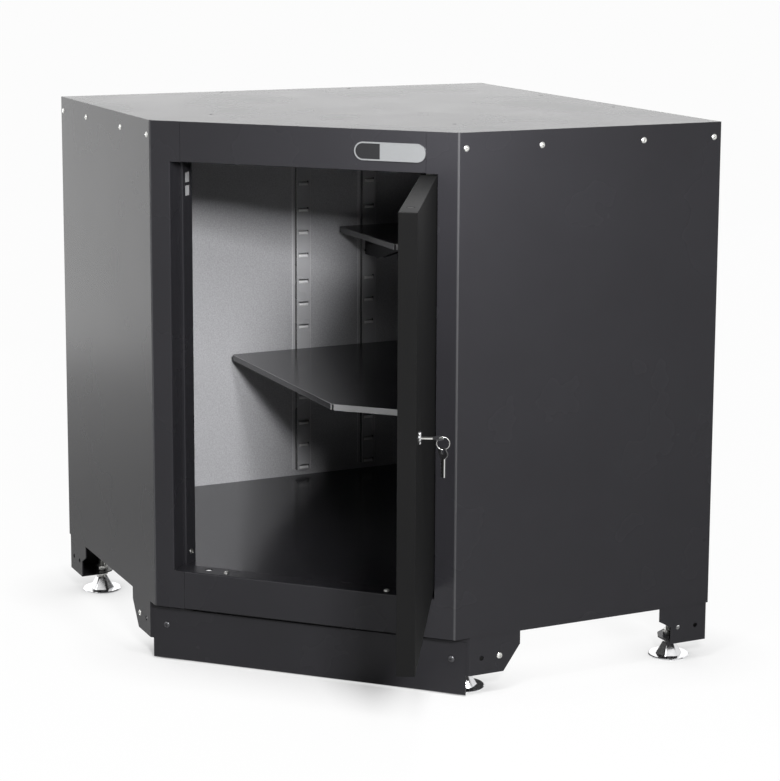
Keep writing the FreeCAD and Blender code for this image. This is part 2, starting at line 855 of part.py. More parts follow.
def rod_guide(side):
    """A guide on the door's inner face that keeps a rod straight."""
    middle = lock_height + side * guide_from_lock
    reach = rod_radius + guide_wall
    block = box(lock_x - reach, lock_x + reach, door_front + sheet, rod_y + reach,
                middle - guide_length / 2, middle + guide_length / 2)
    start = Vector(lock_x, rod_y, middle - guide_length)
    return block.cut(rod(start, rod_radius + plug_play, 2 * guide_length))


def key_shape(blade_out, blade_in, cut_depths):
    """A flat key along -Y from its shoulder: blade at +Y, bow with a hole at -Y, in the plane z = 0."""
    blade = box(-key_blade_width / 2, key_blade_width / 2, -blade_out - key_sheet, blade_in,
                -key_sheet / 2, key_sheet / 2)
    bow_end = -blade_out - key_bow_length
    bow = box(-key_bow_width / 2, key_bow_width / 2, bow_end, -blade_out, -key_sheet / 2, key_sheet / 2)
    corners = [e for e in bow.Edges if abs(e.Vertexes[0].Z - e.Vertexes[-1].Z) > key_sheet / 2]
    bow = bow.makeChamfer(key_bow_corner, corners)
    hole_place = Vector(0, bow_end + key_bridge + key_hole_radius, -key_sheet)
    hole = rod(hole_place, key_hole_radius, 2 * key_sheet)
    key = blade.fuse(bow).removeSplitter().cut(hole)
    bits = [
        box(
            key_blade_width / 2 - depth,
            key_blade_width,
            i * spare_cut_pitch,
            i * spare_cut_pitch + spare_cut_width,
            -key_sheet,
            key_sheet,
        )
        for i, depth in enumerate(cut_depths, 1)
    ]
    return key.cut(bits)


key_front = -lock_flange - key_blade_out
ring_depth = key_front - key_bow_length + key_bridge / 2
ring_level = lock_height + key_sheet / 2 + ring_wire + ring_play - ring_radius


def door_key():
    """The key in the lock, its bow lying level."""
    key = key_shape(key_blade_out, key_blade_in, ())
    return moved(key, lock_point(-lock_flange))


def key_ring():
    """The flat-wire ring through the key's bow, hanging in the plane square to the door."""
    inside, outside = ring_radius - ring_wire, ring_radius + ring_wire
    corners = [
        Vector(-ring_wire, inside, 0), Vector(ring_wire, inside, 0),
        Vector(ring_wire, outside, 0), Vector(-ring_wire, outside, 0),
    ]
    ring = flat_face(corners).revolve(Vector(0, 0, 0), Vector(1, 0, 0), 360)
    return moved(ring, Vector(lock_x, door_front + ring_depth, ring_level))


def spare_key():
    """The second key, hanging bow up from the ring."""
    key = key_shape(0, spare_blade, spare_cut_depths)
    hanging = turned(key, -90, axis=Vector(1, 0, 0))
    hanging = turned(hanging, spare_turn)
    wire_top = ring_level - ring_radius + ring_wire
    bow_end = wire_top + ring_play + key_bridge
    return moved(hanging, Vector(lock_x, door_front + ring_depth, bow_end - key_bow_length))


def badge():
    """A blank pill-shaped plate on the header with a raised rim."""
    def pill(length, height, thickness):
        end = (length - height) / 2
        radius = height / 2
        middle = box(-end, end, -radius, radius, 0, thickness)
        ends = [rod(Vector(side * end, 0, 0), radius, thickness) for side in (-1, 1)]
        return middle.fuse(ends).removeSplitter()

    plate = pill(badge_length, badge_height, badge_thickness)
    field = pill(badge_length - 2 * badge_rim, badge_height - 2 * badge_rim, badge_thickness)
    plate = plate.cut(moved(field, Vector(0, 0, badge_thickness - badge_recess)))
    plate = stand_up(plate)
    return moved(plate, Vector(badge_middle, 0, total_height - badge_drop))


# Carcass
right_side = side_panel()
write("right_side_panel", right_side)
write("left_side_panel", mirrored(right_side))
write("front_header", header())
write("front_sill", sill())
write("right_back_panel", back_panel(2 * sheet + bend, 0))
write("left_back_panel", mirrored(back_panel(0, back_flange)))
write("top_panel", top_panel())
write("floor_panel", floor_panel())
right_post = jamb_post()
write("right_jamb_post", right_post)
write("left_jamb_post", mirrored(right_post))

# Standards, shelves and their arms
for place, run in zip(("outer", "inner"), standard_runs):
    strip = standard(run)
    write("right_" + place + "_standard", strip)
    write("left_" + place + "_standard", mirrored(strip))
both_sides = (standard_runs, standard_runs)
write("middle_shelf", shelf(middle_shelf_slot, middle_shelf_runs, middle_shelf_side, both_sides))
right_and_inner = (standard_runs, standard_runs[1:])
write("upper_shelf", shelf(upper_shelf_slot, upper_shelf_runs, upper_shelf_side, right_and_inner))
middle_arms = [
    shelf_arm(run, middle_shelf_slot, length) for run, length in zip(standard_runs, middle_arm_lengths)
]
write("middle_shelf_arms", *middle_arms, *[mirrored(arm) for arm in middle_arms])
upper_arms = [
    shelf_arm(run, upper_shelf_slot, length) for run, length in zip(standard_runs, upper_arm_lengths)
]
write("upper_shelf_arms", *upper_arms, mirrored(upper_arms[1]))

# Base
write("plinth", plinth())
right_front_bracket = front_bracket()
right_back_bracket = back_bracket()
write("front_right_bracket", right_front_bracket)
write("front_left_bracket", mirrored(right_front_bracket))
write("back_right_bracket", right_back_bracket)
write("back_left_bracket", mirrored(right_back_bracket))
write("rear_corner_bracket", rear_bracket())
foot_places = [front_foot_place(), back_foot_place()]
foot_places += [Vector(-place.x, place.y, 0) for place in foot_places]
foot_places.append(rear_foot_place())
write("levelling_feet", *[levelling_foot(place) for place in foot_places])

# Badge
write("badge_plate", badge())

# Door, hinges and lock
write("door_skin", opened(door_skin()))
write("door_liner", opened(door_liner()))
write("hinge_pins", hinge_pin(opening_top, door_high, 1), hinge_pin(opening_bottom, door_low, -1))
write("hinge_bushes", opened(hinge_bush(door_high, 1)), opened(hinge_bush(door_low, -1)))
write("lock_plug", opened(lock_plug()))
write("lock_crank", opened(lock_crank()))
write("upper_lock_rod", opened(lock_rod(1)))
write("lower_lock_rod", opened(lock_rod(-1)))
lock_pieces = [lock_barrel_body(), lock_nut_piece(), rod_guide(1), rod_guide(-1)]
write("lock_body", *[opened(piece) for piece in lock_pieces])
write("door_key", opened(door_key()))
write("key_ring", opened(key_ring()))
write("spare_key", opened(spare_key()))
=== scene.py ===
import logging
import math
from abc import ABC, abstractmethod
from dataclasses import dataclass, field
from enum import Enum

import bmesh
import bpy
import numpy as np
from mathutils import Matrix, Vector


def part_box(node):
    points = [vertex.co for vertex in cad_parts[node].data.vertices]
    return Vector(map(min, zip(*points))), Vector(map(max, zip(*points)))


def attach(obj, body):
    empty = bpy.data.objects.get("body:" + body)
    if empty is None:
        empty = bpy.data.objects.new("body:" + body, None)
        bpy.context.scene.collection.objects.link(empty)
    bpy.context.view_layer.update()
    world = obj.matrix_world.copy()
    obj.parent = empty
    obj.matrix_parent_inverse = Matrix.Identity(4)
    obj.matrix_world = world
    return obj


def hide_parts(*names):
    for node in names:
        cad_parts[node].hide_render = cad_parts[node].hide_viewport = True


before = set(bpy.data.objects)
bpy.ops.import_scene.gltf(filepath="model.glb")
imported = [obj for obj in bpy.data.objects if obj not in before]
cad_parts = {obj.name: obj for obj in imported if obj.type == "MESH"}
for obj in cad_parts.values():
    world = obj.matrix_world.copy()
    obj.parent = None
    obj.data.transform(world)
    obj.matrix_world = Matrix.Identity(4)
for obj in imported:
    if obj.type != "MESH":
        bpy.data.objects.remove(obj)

Triple = tuple[float, float, float]
Socket = bpy.types.NodeSocket

LOG = logging.getLogger("corner_cabinet")
IMAGE_LONG_SIDE = 781.0
IMAGE_MIDDLE_X = 390.0
UP = Vector((0.0, 0.0, 1.0))
# The share in X and in Y of a step along a wall that stands at 45 degrees.
SLANT = math.sqrt(0.5)
# The way the open door's outer face looks, and the way from its hinge to its free edge.
DOOR_OPEN = math.radians(105.0)
DOOR_OUT = (math.sin(DOOR_OPEN), -math.cos(DOOR_OPEN), 0.0)
DOOR_ALONG = (-math.cos(DOOR_OPEN), -math.sin(DOOR_OPEN), 0.0)
# The range around a noise pattern's middle that is stretched into a finish.
NOISE_MIDDLE = (0.3, 0.7)
# The spread in metres under which a row of points counts as one spot.
POLE_SPREAD = 1e-9


class Body(Enum):
    """The rigid bodies that pieces ride on."""

    CABINET = "cabinet"
    DOOR = "door"
    KEYS = "keys"


class Side(Enum):
    """The two sides of the cabinet, with the sign of their X."""

    RIGHT = 1
    LEFT = -1


class Nodes:
    """A node tree that is being put together."""

    def __init__(self, tree: bpy.types.NodeTree) -> None:
        """Takes the tree to work on.

        Args:
            tree: the node tree.
        """
        self.tree = tree

    def add(self, kind: str, **properties: object) -> bpy.types.Node:
        """Adds a node.

        Args:
            kind: the node's type name.
            properties: attributes to set on the node.

        Returns:
            The new node.
        """
        node = self.tree.nodes.new(kind)
        for name, value in properties.items():
            setattr(node, name, value)
        return node

    def link(self, source: Socket, target: Socket) -> None:
        """Joins two sockets."""
        self.tree.links.new(source, target)

    def put(self, value: object, target: Socket) -> None:
        """Joins a socket to a target, or sets the target to a plain value."""
        if isinstance(value, Socket):
            self.link(value, target)
        else:
            target.default_value = value

    def math(self, operation: str, first: object, second: object) -> Socket:
        """Works out a number from two others, each a plain number or another node's socket.

        Args:
            operation: the operation's name.
            first: a number or a socket.
            second: a number or a socket.

        Returns:
            The result.
        """
        node = self.add("ShaderNodeMath", operation=operation)
        self.put(first, node.inputs[0])
        self.put(second, node.inputs[1])
        return node.outputs["Value"]

    def spread(self, value: Socket, start: tuple[float, float],
               end: tuple[float, float], smooth: bool = False) -> Socket:
        """Stretches a value from one range to another.

        Args:
            value: the value.
            start: the range it comes from.
            end: the range it goes to.
            smooth: whether the ends of the range ease in.

        Returns:
            The stretched value.
        """
        node = self.add("ShaderNodeMapRange", interpolation_type="SMOOTHSTEP" if smooth else "LINEAR")
        for name, number in zip(("From Min", "From Max", "To Min", "To Max"), (*start, *end)):
            node.inputs[name].default_value = number
        self.link(value, node.inputs["Value"])
        return node.outputs["Result"]


@dataclass(frozen=True)
class Grain:
    """A fine bump: waves per metre, how strongly it turns the light, height in metres, octaves."""

    scale: float
    strength: float
    height: float
    detail: float = 2.0


COAT_GRAIN = Grain(900.0, 0.12, 0.0003)
MOULD_GRAIN = Grain(1200.0, 0.08, 0.0002)


class Shader(Nodes):
    """One node material around a Principled shader."""

    def __init__(self, name: str) -> None:
        """Makes an empty material with its shader.

        Args:
            name: the material's name.
        """
        self.material = bpy.data.materials.new(name)
        self.material.use_nodes = True
        super().__init__(self.material.node_tree)
        self.principled = self.tree.nodes["Principled BSDF"]

    def constants(self, **values: object) -> None:
        """Sets sockets of the Principled shader; underscores in a name stand for spaces."""
        for name, value in values.items():
            self.principled.inputs[name.replace("_", " ")].default_value = value

    def place(self) -> Socket:
        """Object coordinates, in metres."""
        return self.add("ShaderNodeTexCoord").outputs["Object"]

    def noise(self, scale: float, detail: float) -> Socket:
        """A noise pattern in the object's own space.

        Args:
            scale: waves per metre.
            detail: octaves of finer noise.

        Returns:
            The factor socket.
        """
        node = self.add("ShaderNodeTexNoise")
        node.inputs["Scale"].default_value = scale
        node.inputs["Detail"].default_value = detail
        self.link(self.place(), node.inputs["Vector"])
        return node.outputs["Fac"]

    def between(self, factor: Socket, low: float, high: float) -> Socket:
        """Stretches the middle of a noise pattern over a range of values.

        Args:
            factor: the pattern.
            low: the value at the pattern's dark places.
            high: the value at its light places.

        Returns:
            The stretched value.
        """
        return self.spread(factor, NOISE_MIDDLE, (low, high))

    def mix(self, factor: Socket, first: object, second: object) -> Socket:
        """Mixes two colours, each a plain colour or another node's socket.

        Args:
            factor: 0 for the first colour, 1 for the second.
            first: a colour or a socket.
            second: a colour or a socket.

        Returns:
            The mixed colour.
        """
        node = self.add("ShaderNodeMix", data_type="RGBA")
        self.link(factor, node.inputs["Factor"])
        for name, value in (("A", first), ("B", second)):
            self.put(value, next(s for s in node.inputs if s.name == name and s.type == "RGBA"))
        return next(s for s in node.outputs if s.type == "RGBA")

    def vectors(self, operation: str, first: Socket, second: Triple, result: str = "Value") -> Socket:
        """Works out a number or a vector from a socket's vector and a plain one.

        Args:
            operation: the operation's name.
            first: the socket.
            second: the plain vector.
            result: the output that holds the result.

        Returns:
            The result.
        """
        node = self.add("ShaderNodeVectorMath", operation=operation)
        self.link(first, node.inputs[0])
        node.inputs[1].default_value = second
        return node.outputs[result]

    def facing(self, direction: Triple) -> Socket:
        """The cosine of the angle between a face's normal and a unit direction."""
        normal = self.add("ShaderNodeNewGeometry").outputs["True Normal"]
        return self.vectors("DOT_PRODUCT", normal, direction)

    def grain(self, grain: Grain) -> None:
        """Gives the shader a fine bump.

        Args:
            grain: the bump's sizes.
        """
        bump = self.add("ShaderNodeBump")
        bump.inputs["Strength"].default_value = grain.strength
        bump.inputs["Distance"].default_value = grain.height
        self.link(self.noise(grain.scale, grain.detail), bump.inputs["Height"])
        self.link(bump.outputs["Normal"], self.principled.inputs["Normal"])


class Finish(ABC):
    """A surface finish that can be put on any piece."""

    @abstractmethod
    def material(self) -> bpy.types.Material:
        """Builds the finish's material."""


@dataclass(frozen=True)
class PowderCoat(Finish):
    """Satin powder coat: a little cloudy in tone and gloss, with a fine orange-peel grain."""

    name: str
    colour: Triple
    roughness: float = 0.27
    gloss: float = 0.16
    cloud: float = 0.12
    cloud_scale: float = 7.0
    cloud_detail: float = 3.0
    gloss_drift: float = 0.01

    def tone(self, share: float) -> tuple[float, float, float, float]:
        """The coat's colour, lightened or darkened by a share."""
        red, green, blue = (channel * (1.0 + share) for channel in self.colour)
        return (red, green, blue, 1.0)

    def base(self, shader: Shader, clouds: Socket) -> Socket:
        """The coat's colour over the surface.

        Args:
            shader: the material being built.
            clouds: the pattern that the tone follows.

        Returns:
            The colour.
        """
        return shader.mix(clouds, self.tone(-self.cloud), self.tone(self.cloud))

    def material(self) -> bpy.types.Material:
        """Builds the coat's material.

        Returns:
            The material.
        """
        shader = Shader(self.name)
        shader.constants(Specular_IOR_Level=self.gloss)
        clouds = shader.noise(self.cloud_scale, self.cloud_detail)
        shader.link(self.base(shader, clouds), shader.principled.inputs["Base Color"])
        drift = shader.between(clouds, self.roughness - self.gloss_drift, self.roughness + self.gloss_drift)
        shader.link(drift, shader.principled.inputs["Roughness"])
        shader.grain(COAT_GRAIN)
        return shader.material


@dataclass(frozen=True)
class HighlightedFoldCoat(PowderCoat):
    """Powder coat with a painted highlight: a pale line along one upright fold, standing in for the glint of
    light on the rounded bend.
    """

    fold: Triple = (0.0, 0.0, 0.0)
    fold_highlight_tone: Triple = (0.045, 0.045, 0.0475)
    fold_highlight_span: tuple[float, float] = (0.0013, 0.0021)

    def base(self, shader: Shader, clouds: Socket) -> Socket:
        """The coat's colour, going over to the pale painted highlight near the fold's line.

        Args:
            shader: the material being built.
            clouds: the pattern that the tone follows.

        Returns:
            The colour.
        """
        level = shader.vectors("MULTIPLY", shader.place(), (1.0, 1.0, 0.0), "Vector")
        away = shader.vectors("DISTANCE", level, self.fold)
        # painted highlight: the pale tone within a few millimetres of the fold's line
        near = shader.spread(away, self.fold_highlight_span, (1.0, 0.0), smooth=True)
        return shader.mix(near, super().base(shader, clouds), (*self.fold_highlight_tone, 1.0))


@dataclass(frozen=True)
class PaintedLightLipCoat(PowderCoat):
    """Powder coat with painted light: a pale lip that looks to the front, standing in for the lamp's light
    on it, and a painted highlight along rounded upper edges.
    """

    painted_light_tone: Triple = (0.26, 0.26, 0.265)
    lit_lip_from: float = 0.9
    edge_highlight_span: tuple[float, float] = (0.2, 0.97)

    def base(self, shader: Shader, clouds: Socket) -> Socket:
        """The coat's colour, changed for the pale painted light on front lips and the painted highlight on
        rounded edges.

        Args:
            shader: the material being built.
            clouds: the pattern that the tone follows.

        Returns:
            The colour.
        """
        # painted light: front-facing lip faces and rounded upper edges take the pale tone
        lip = shader.math("GREATER_THAN", shader.facing((0.0, -1.0, 0.0)), self.lit_lip_from)
        slope = shader.facing((0.0, 0.0, 1.0))
        edge = shader.math("MULTIPLY", shader.math("GREATER_THAN", slope, self.edge_highlight_span[0]),
                           shader.math("LESS_THAN", slope, self.edge_highlight_span[1]))
        pale = shader.math("MAXIMUM", lip, edge)
        return shader.mix(pale, super().base(shader, clouds), (*self.painted_light_tone, 1.0))


@dataclass(frozen=True)
class PaintedLightStripCoat(PowderCoat):
    """Coat of a slotted strip with painted light: a pale painted highlight along its bends and painted shade
    on the walls that do not look inward.
    """

    inward: Triple = (0.0, -1.0, 0.0)
    bend_highlight_tone: Triple = (0.75, 0.75, 0.76)
    wall_shade_tone: Triple = (0.09, 0.09, 0.092)
    painted_light_span: tuple[float, float] = (0.25, 0.97)

    def base(self, shader: Shader, clouds: Socket) -> Socket:
        """The coat's colour by the way a face looks: painted highlight on bends, painted shade on walls that
        turn away.

        Args:
            shader: the material being built.
            clouds: the pattern that the tone follows.

        Returns:
            The colour.
        """
        look = shader.facing(self.inward)
        # painted highlight on the bend faces and painted shade on the walls that turn away from the room
        bend = shader.math("LESS_THAN", look, self.painted_light_span[1])
        wall = shader.math("LESS_THAN", look, self.painted_light_span[0])
        coat = shader.mix(bend, super().base(shader, clouds), (*self.bend_highlight_tone, 1.0))
        return shader.mix(wall, coat, (*self.wall_shade_tone, 1.0))


@dataclass(frozen=True)
class TwoTonePanel(Finish):
    """A wall that is coated dark outside and light grey inside, told apart by the way a face looks."""

    name: str
    outside: Triple
    inside: Triple
    inward: Triple
    roughness: float = 0.45
    speckle: float = 0.16
    speckle_scale: float = 420.0
    speckle_detail: float = 4.0
    inside_from: float = 0.5

    def material(self) -> bpy.types.Material:
        """Builds the wall's material.

        Returns:
            The material.
        """
        shader = Shader(self.name)
        specks = shader.between(shader.noise(self.speckle_scale, self.speckle_detail), 0.0, 1.0)
        light = tuple(channel * (1.0 + self.speckle) for channel in self.inside)
        dark = tuple(channel * (1.0 - self.speckle) for channel in self.inside)
        grey = shader.mix(specks, (*dark, 1.0), (*light, 1.0))
        is_inside = shader.math("GREATER_THAN", shader.facing(self.inward), self.inside_from)
        coat = shader.mix(is_inside, (*self.outside, 1.0), grey)
        shader.link(coat, shader.principled.inputs["Base Color"])
        shader.constants(Roughness=self.roughness)
        shader.grain(COAT_GRAIN)
        return shader.material


@dataclass(frozen=True)
class PlatedMetal(Finish):
    """Bare or plated metal with a slightly uneven gloss."""

    name: str
    colour: Triple
    roughness: float = 0.25
    unevenness: float = 0.06
    polish_scale: float = 300.0
    polish_detail: float = 3.0

    def material(self) -> bpy.types.Material:
        """Builds the metal's material.

        Returns:
            The material.
        """
        shader = Shader(self.name)
        shader.constants(Base_Color=(*self.colour, 1.0), Metallic=1.0)
        polish = shader.noise(self.polish_scale, self.polish_detail)
        gloss = shader.between(polish, self.roughness - self.unevenness, self.roughness + self.unevenness)
        shader.link(gloss, shader.principled.inputs["Roughness"])
        return shader.material


@dataclass(frozen=True)
class Nylon(Finish):
    """Plain moulded nylon."""

    name: str
    colour: Triple
    roughness: float = 0.5

    def material(self) -> bpy.types.Material:
        """Builds the nylon's material.

        Returns:
            The material.
        """
        shader = Shader(self.name)
        shader.constants(Base_Color=(*self.colour, 1.0), Roughness=self.roughness)
        shader.grain(MOULD_GRAIN)
        return shader.material


@dataclass(frozen=True)
class KeyMetal(Finish):
    """A plated key whose bow, past a plane across it, is covered in black plastic."""

    name: str
    along: Triple
    bow_from: float
    blade: Triple = (0.62, 0.62, 0.60)
    bow: Triple = (0.02, 0.02, 0.021)
    roughness: float = 0.28

    def material(self) -> bpy.types.Material:
        """Builds the key's material.

        Returns:
            The material.
        """
        shader = Shader(self.name)
        distance = shader.vectors("DOT_PRODUCT", shader.place(), self.along)
        is_bow = shader.math("GREATER_THAN", distance, self.bow_from)
        shader.link(shader.mix(is_bow, (*self.blade, 1.0), (*self.bow, 1.0)),
                    shader.principled.inputs["Base Color"])
        shader.link(shader.math("SUBTRACT", 1.0, is_bow), shader.principled.inputs["Metallic"])
        shader.constants(Roughness=self.roughness)
        return shader.material


@dataclass
class Surface:
    """Points and faces of one shape before it becomes a mesh."""

    points: np.ndarray
    faces: list[tuple[int, ...]]

    def outward(self) -> "Surface":
        """A copy of a closed shape whose faces all point out.

        The volume is a sixth of the sum, over triangles, of each one's three corners' triple product.

        Returns:
            The same shape, turned inside out if its volume came out negative.
        """
        triangles = np.array([face[:3] for face in self.faces] + [
            (face[0], *face[2:4]) for face in self.faces if len(face) == 4
        ])
        a, b, c = (self.points[triangles[:, i]] for i in range(3))
        if np.einsum("ij,ij->i", a, np.cross(b, c)).sum() >= 0.0:
            return self
        return Surface(self.points, [face[::-1] for face in self.faces])

    def at(self, origin: Vector, axis: Vector) -> "Surface":
        """A copy with its own +Z turned to an axis and its origin moved to a point.

        Args:
            origin: the place of the shape's own origin.
            axis: the direction of the shape's own +Z.

        Returns:
            The placed copy.
        """
        turn = np.array(axis.to_track_quat("Z", "Y").to_matrix())
        return Surface(self.points @ turn.T + np.array(origin), self.faces)


def woven(grid: np.ndarray, close_rows: bool = False) -> Surface:
    """Weaves a grid of points into faces: columns run round and close, rows run along.

    A row whose points all lie on one spot becomes a single pole.

    Args:
        grid: points as (rows, columns, 3).
        close_rows: whether the last row joins the first.

    Returns:
        The surface.
    """
    rows, columns = grid.shape[:2]
    index = np.arange(rows * columns).reshape(rows, columns)
    poles = np.ptp(grid, axis=1).max(axis=1) < POLE_SPREAD
    index[poles] = index[poles][:, :1]
    upper = np.roll(index, -1, axis=0) if close_rows else index[1:]
    lower = index if close_rows else index[:-1]
    quads = np.stack([lower, np.roll(lower, -1, axis=1), np.roll(upper, -1, axis=1), upper], axis=-1)
    faces = [tuple(dict.fromkeys(quad)) for quad in quads.reshape(-1, 4).tolist()]
    return Surface(grid.reshape(-1, 3), faces)


def divided_turn(steps: int) -> np.ndarray:
    """Angles that divide a full turn evenly, from zero."""
    return np.linspace(0.0, 2.0 * np.pi, steps, endpoint=False)


def around(angle: np.ndarray, reach: np.ndarray, height: np.ndarray | float) -> np.ndarray:
    """Points round the Z axis: X and Y are the reach times the angle's cosine and sine, Z is the height.

    Args:
        angle: angles round the axis.
        reach: distances from the axis.
        height: heights, or one for all. The three broadcast together.

    Returns:
        The points, with X, Y and Z along a last axis.
    """
    return np.stack(np.broadcast_arrays(reach * np.cos(angle), reach * np.sin(angle), height), axis=-1)


def hexagon(angle: np.ndarray) -> np.ndarray:
    """A hexagon's reach over its flats' distance: one over the cosine of the angle from a flat's middle.

    Args:
        angle: angles from the middle of the first flat.

    Returns:
        The reach at each angle.
    """
    sixth = np.pi / 3.0
    return 1.0 / np.cos((angle + sixth / 2.0) % sixth - sixth / 2.0)


class Workbench:
    """Makes pieces from surfaces and puts finishes on pieces and CAD nodes."""

    def __init__(self) -> None:
        """Starts with no material made."""
        self.made: dict[Finish, bpy.types.Material] = {}

    def coat(self, finish: Finish) -> bpy.types.Material:
        """The material of a finish, made once."""
        if finish not in self.made:
            self.made[finish] = finish.material()
        return self.made[finish]

    def dress(self, finish: Finish, *nodes: str) -> None:
        """Puts a finish on CAD nodes.

        Args:
            finish: the finish.
            nodes: the nodes' names.
        """
        for name in nodes:
            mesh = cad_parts[name].data
            mesh.materials.clear()
            mesh.materials.append(self.coat(finish))

    def piece(self, name: str, shapes: list[Surface], finish: Finish, body: Body,
              sharp: float = 0.6) -> bpy.types.Object:
        """Joins surfaces into one piece that rides on a body.

        Args:
            name: the piece's name.
            shapes: its surfaces, in place.
            finish: its finish.
            body: the body it moves with.
            sharp: the angle in radians past which an edge stays sharp.

        Returns:
            The piece's object.
        """
        shapes = [shape.outward() for shape in shapes]
        starts = np.cumsum([0] + [len(shape.points) for shape in shapes])
        points = np.concatenate([shape.points for shape in shapes])
        faces = [tuple(int(i + start) for i in face)
                 for start, shape in zip(starts, shapes) for face in shape.faces]
        mesh = bpy.data.meshes.new(name)
        mesh.from_pydata(points.tolist(), [], faces)
        mesh.shade_smooth()
        mesh.set_sharp_from_angle(angle=sharp)
        return self.stand(name, mesh, finish, body)

    def stand(self, name: str, mesh: bpy.types.Mesh, finish: Finish, body: Body) -> bpy.types.Object:
        """Puts a finished mesh into the scene as a piece.

        Args:
            name: the piece's name.
            mesh: its mesh, in place.
            finish: its finish.
            body: the body it moves with.

        Returns:
            The piece's object.
        """
        mesh.materials.clear()
        mesh.materials.append(self.coat(finish))
        thing = bpy.data.objects.new(name, mesh)
        bpy.context.scene.collection.objects.link(thing)
        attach(thing, body.value)
        LOG.info("%s: %d faces on %s", name, len(mesh.polygons), body.value)
        return thing


OUTER_PAINT = (0.0152, 0.0149, 0.0171)
INNER_GREY = (0.36, 0.36, 0.375)
COAT = PowderCoat("satin_anthracite_coat", OUTER_PAINT)
FLOOR_COAT = PowderCoat("smooth_floor_coat", OUTER_PAINT, roughness=0.2, gloss=0.9)
# the shelves' coat carries painted light on its front lips and upper edges
SHELF_COAT = PaintedLightLipCoat("smooth_shelf_coat", OUTER_PAINT, roughness=0.2, gloss=0.9)
DOOR_COAT = PowderCoat("satin_black_coat", (0.0080, 0.0080, 0.0081), roughness=0.6, gloss=0.02)
STRIP_GREY = (0.40, 0.40, 0.415)
# painted highlight: the tongues are pale to stand for the light that their tops catch
TONGUE_HIGHLIGHT_COAT = PowderCoat("painted_highlight_tongue_coat", (0.75, 0.75, 0.76), gloss=0.5, cloud=0.05)
ZINC = PlatedMetal("bright_zinc", (0.62, 0.62, 0.60), 0.3)
CHROME = PlatedMetal("polished_plate", (0.72, 0.72, 0.73), 0.14, 0.04)
BLACK_OXIDE = PowderCoat("black_oxide", (0.010, 0.010, 0.010), roughness=0.5, gloss=0.05)
DARK_STEEL = PlatedMetal("blackened_steel", (0.09, 0.09, 0.095), 0.35)
BADGE_SILVER = PlatedMetal("satin_badge", (0.43, 0.44, 0.45), 0.3, 0.02)
BADGE_BLACK = PowderCoat("black_enamel", (0.012, 0.012, 0.013), roughness=0.25)
PAD_GREY = Nylon("grey_pad", (0.24, 0.24, 0.245))
BUSH_NYLON = Nylon("natural_nylon", (0.72, 0.71, 0.67))
STRIP_COATS = {
    side: PaintedLightStripCoat(side.name.lower() + "_strip_coat", STRIP_GREY, gloss=0.5, cloud=0.05,
                    inward=(-side.value * SLANT, -SLANT, 0.0))
    for side in Side
}
STRIPS = {
    f"{side.name.lower()}_{place}_standard": STRIP_COATS[side]
    for side in Side for place in ("outer", "inner")
}


@dataclass
class Layout:
    """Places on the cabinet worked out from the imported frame."""

    side_depth: float = 0.478
    front_y: float = field(init=False)
    top_z: float = field(init=False)
    panel_bottom: float = field(init=False)
    front_corner: Vector = field(init=False)
    rear_corner: Vector = field(init=False)

    def __post_init__(self) -> None:
        """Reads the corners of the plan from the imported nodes."""
        self.front_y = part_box("front_header")[0].y
        self.top_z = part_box("top_panel")[1].z
        low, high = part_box("right_side_panel")
        self.panel_bottom = low.z
        run = self.side_depth * SLANT
        self.front_corner = Vector((high.x - run, self.front_y, 0.0))
        self.rear_corner = Vector((0.0, self.front_y + run + high.x, 0.0))

    def along_side(self, run: float, inward: float, height: float, side: Side) -> Vector:
        """A point on a side panel.

        Args:
            run: distance from the front corner along the panel.
            inward: distance inside the panel's outer face.
            height: height over the floor.
            side: which panel.

        Returns:
            The point.
        """
        point = self.front_corner + Vector((SLANT, SLANT, 0.0)) * run + Vector((-SLANT, SLANT, 0.0)) * inward
        return Vector((side.value * point.x, point.y, height))

    def side_normal(self, side: Side) -> Vector:
        """The outward direction of a side panel."""
        return Vector((side.value * SLANT, -SLANT, 0.0))


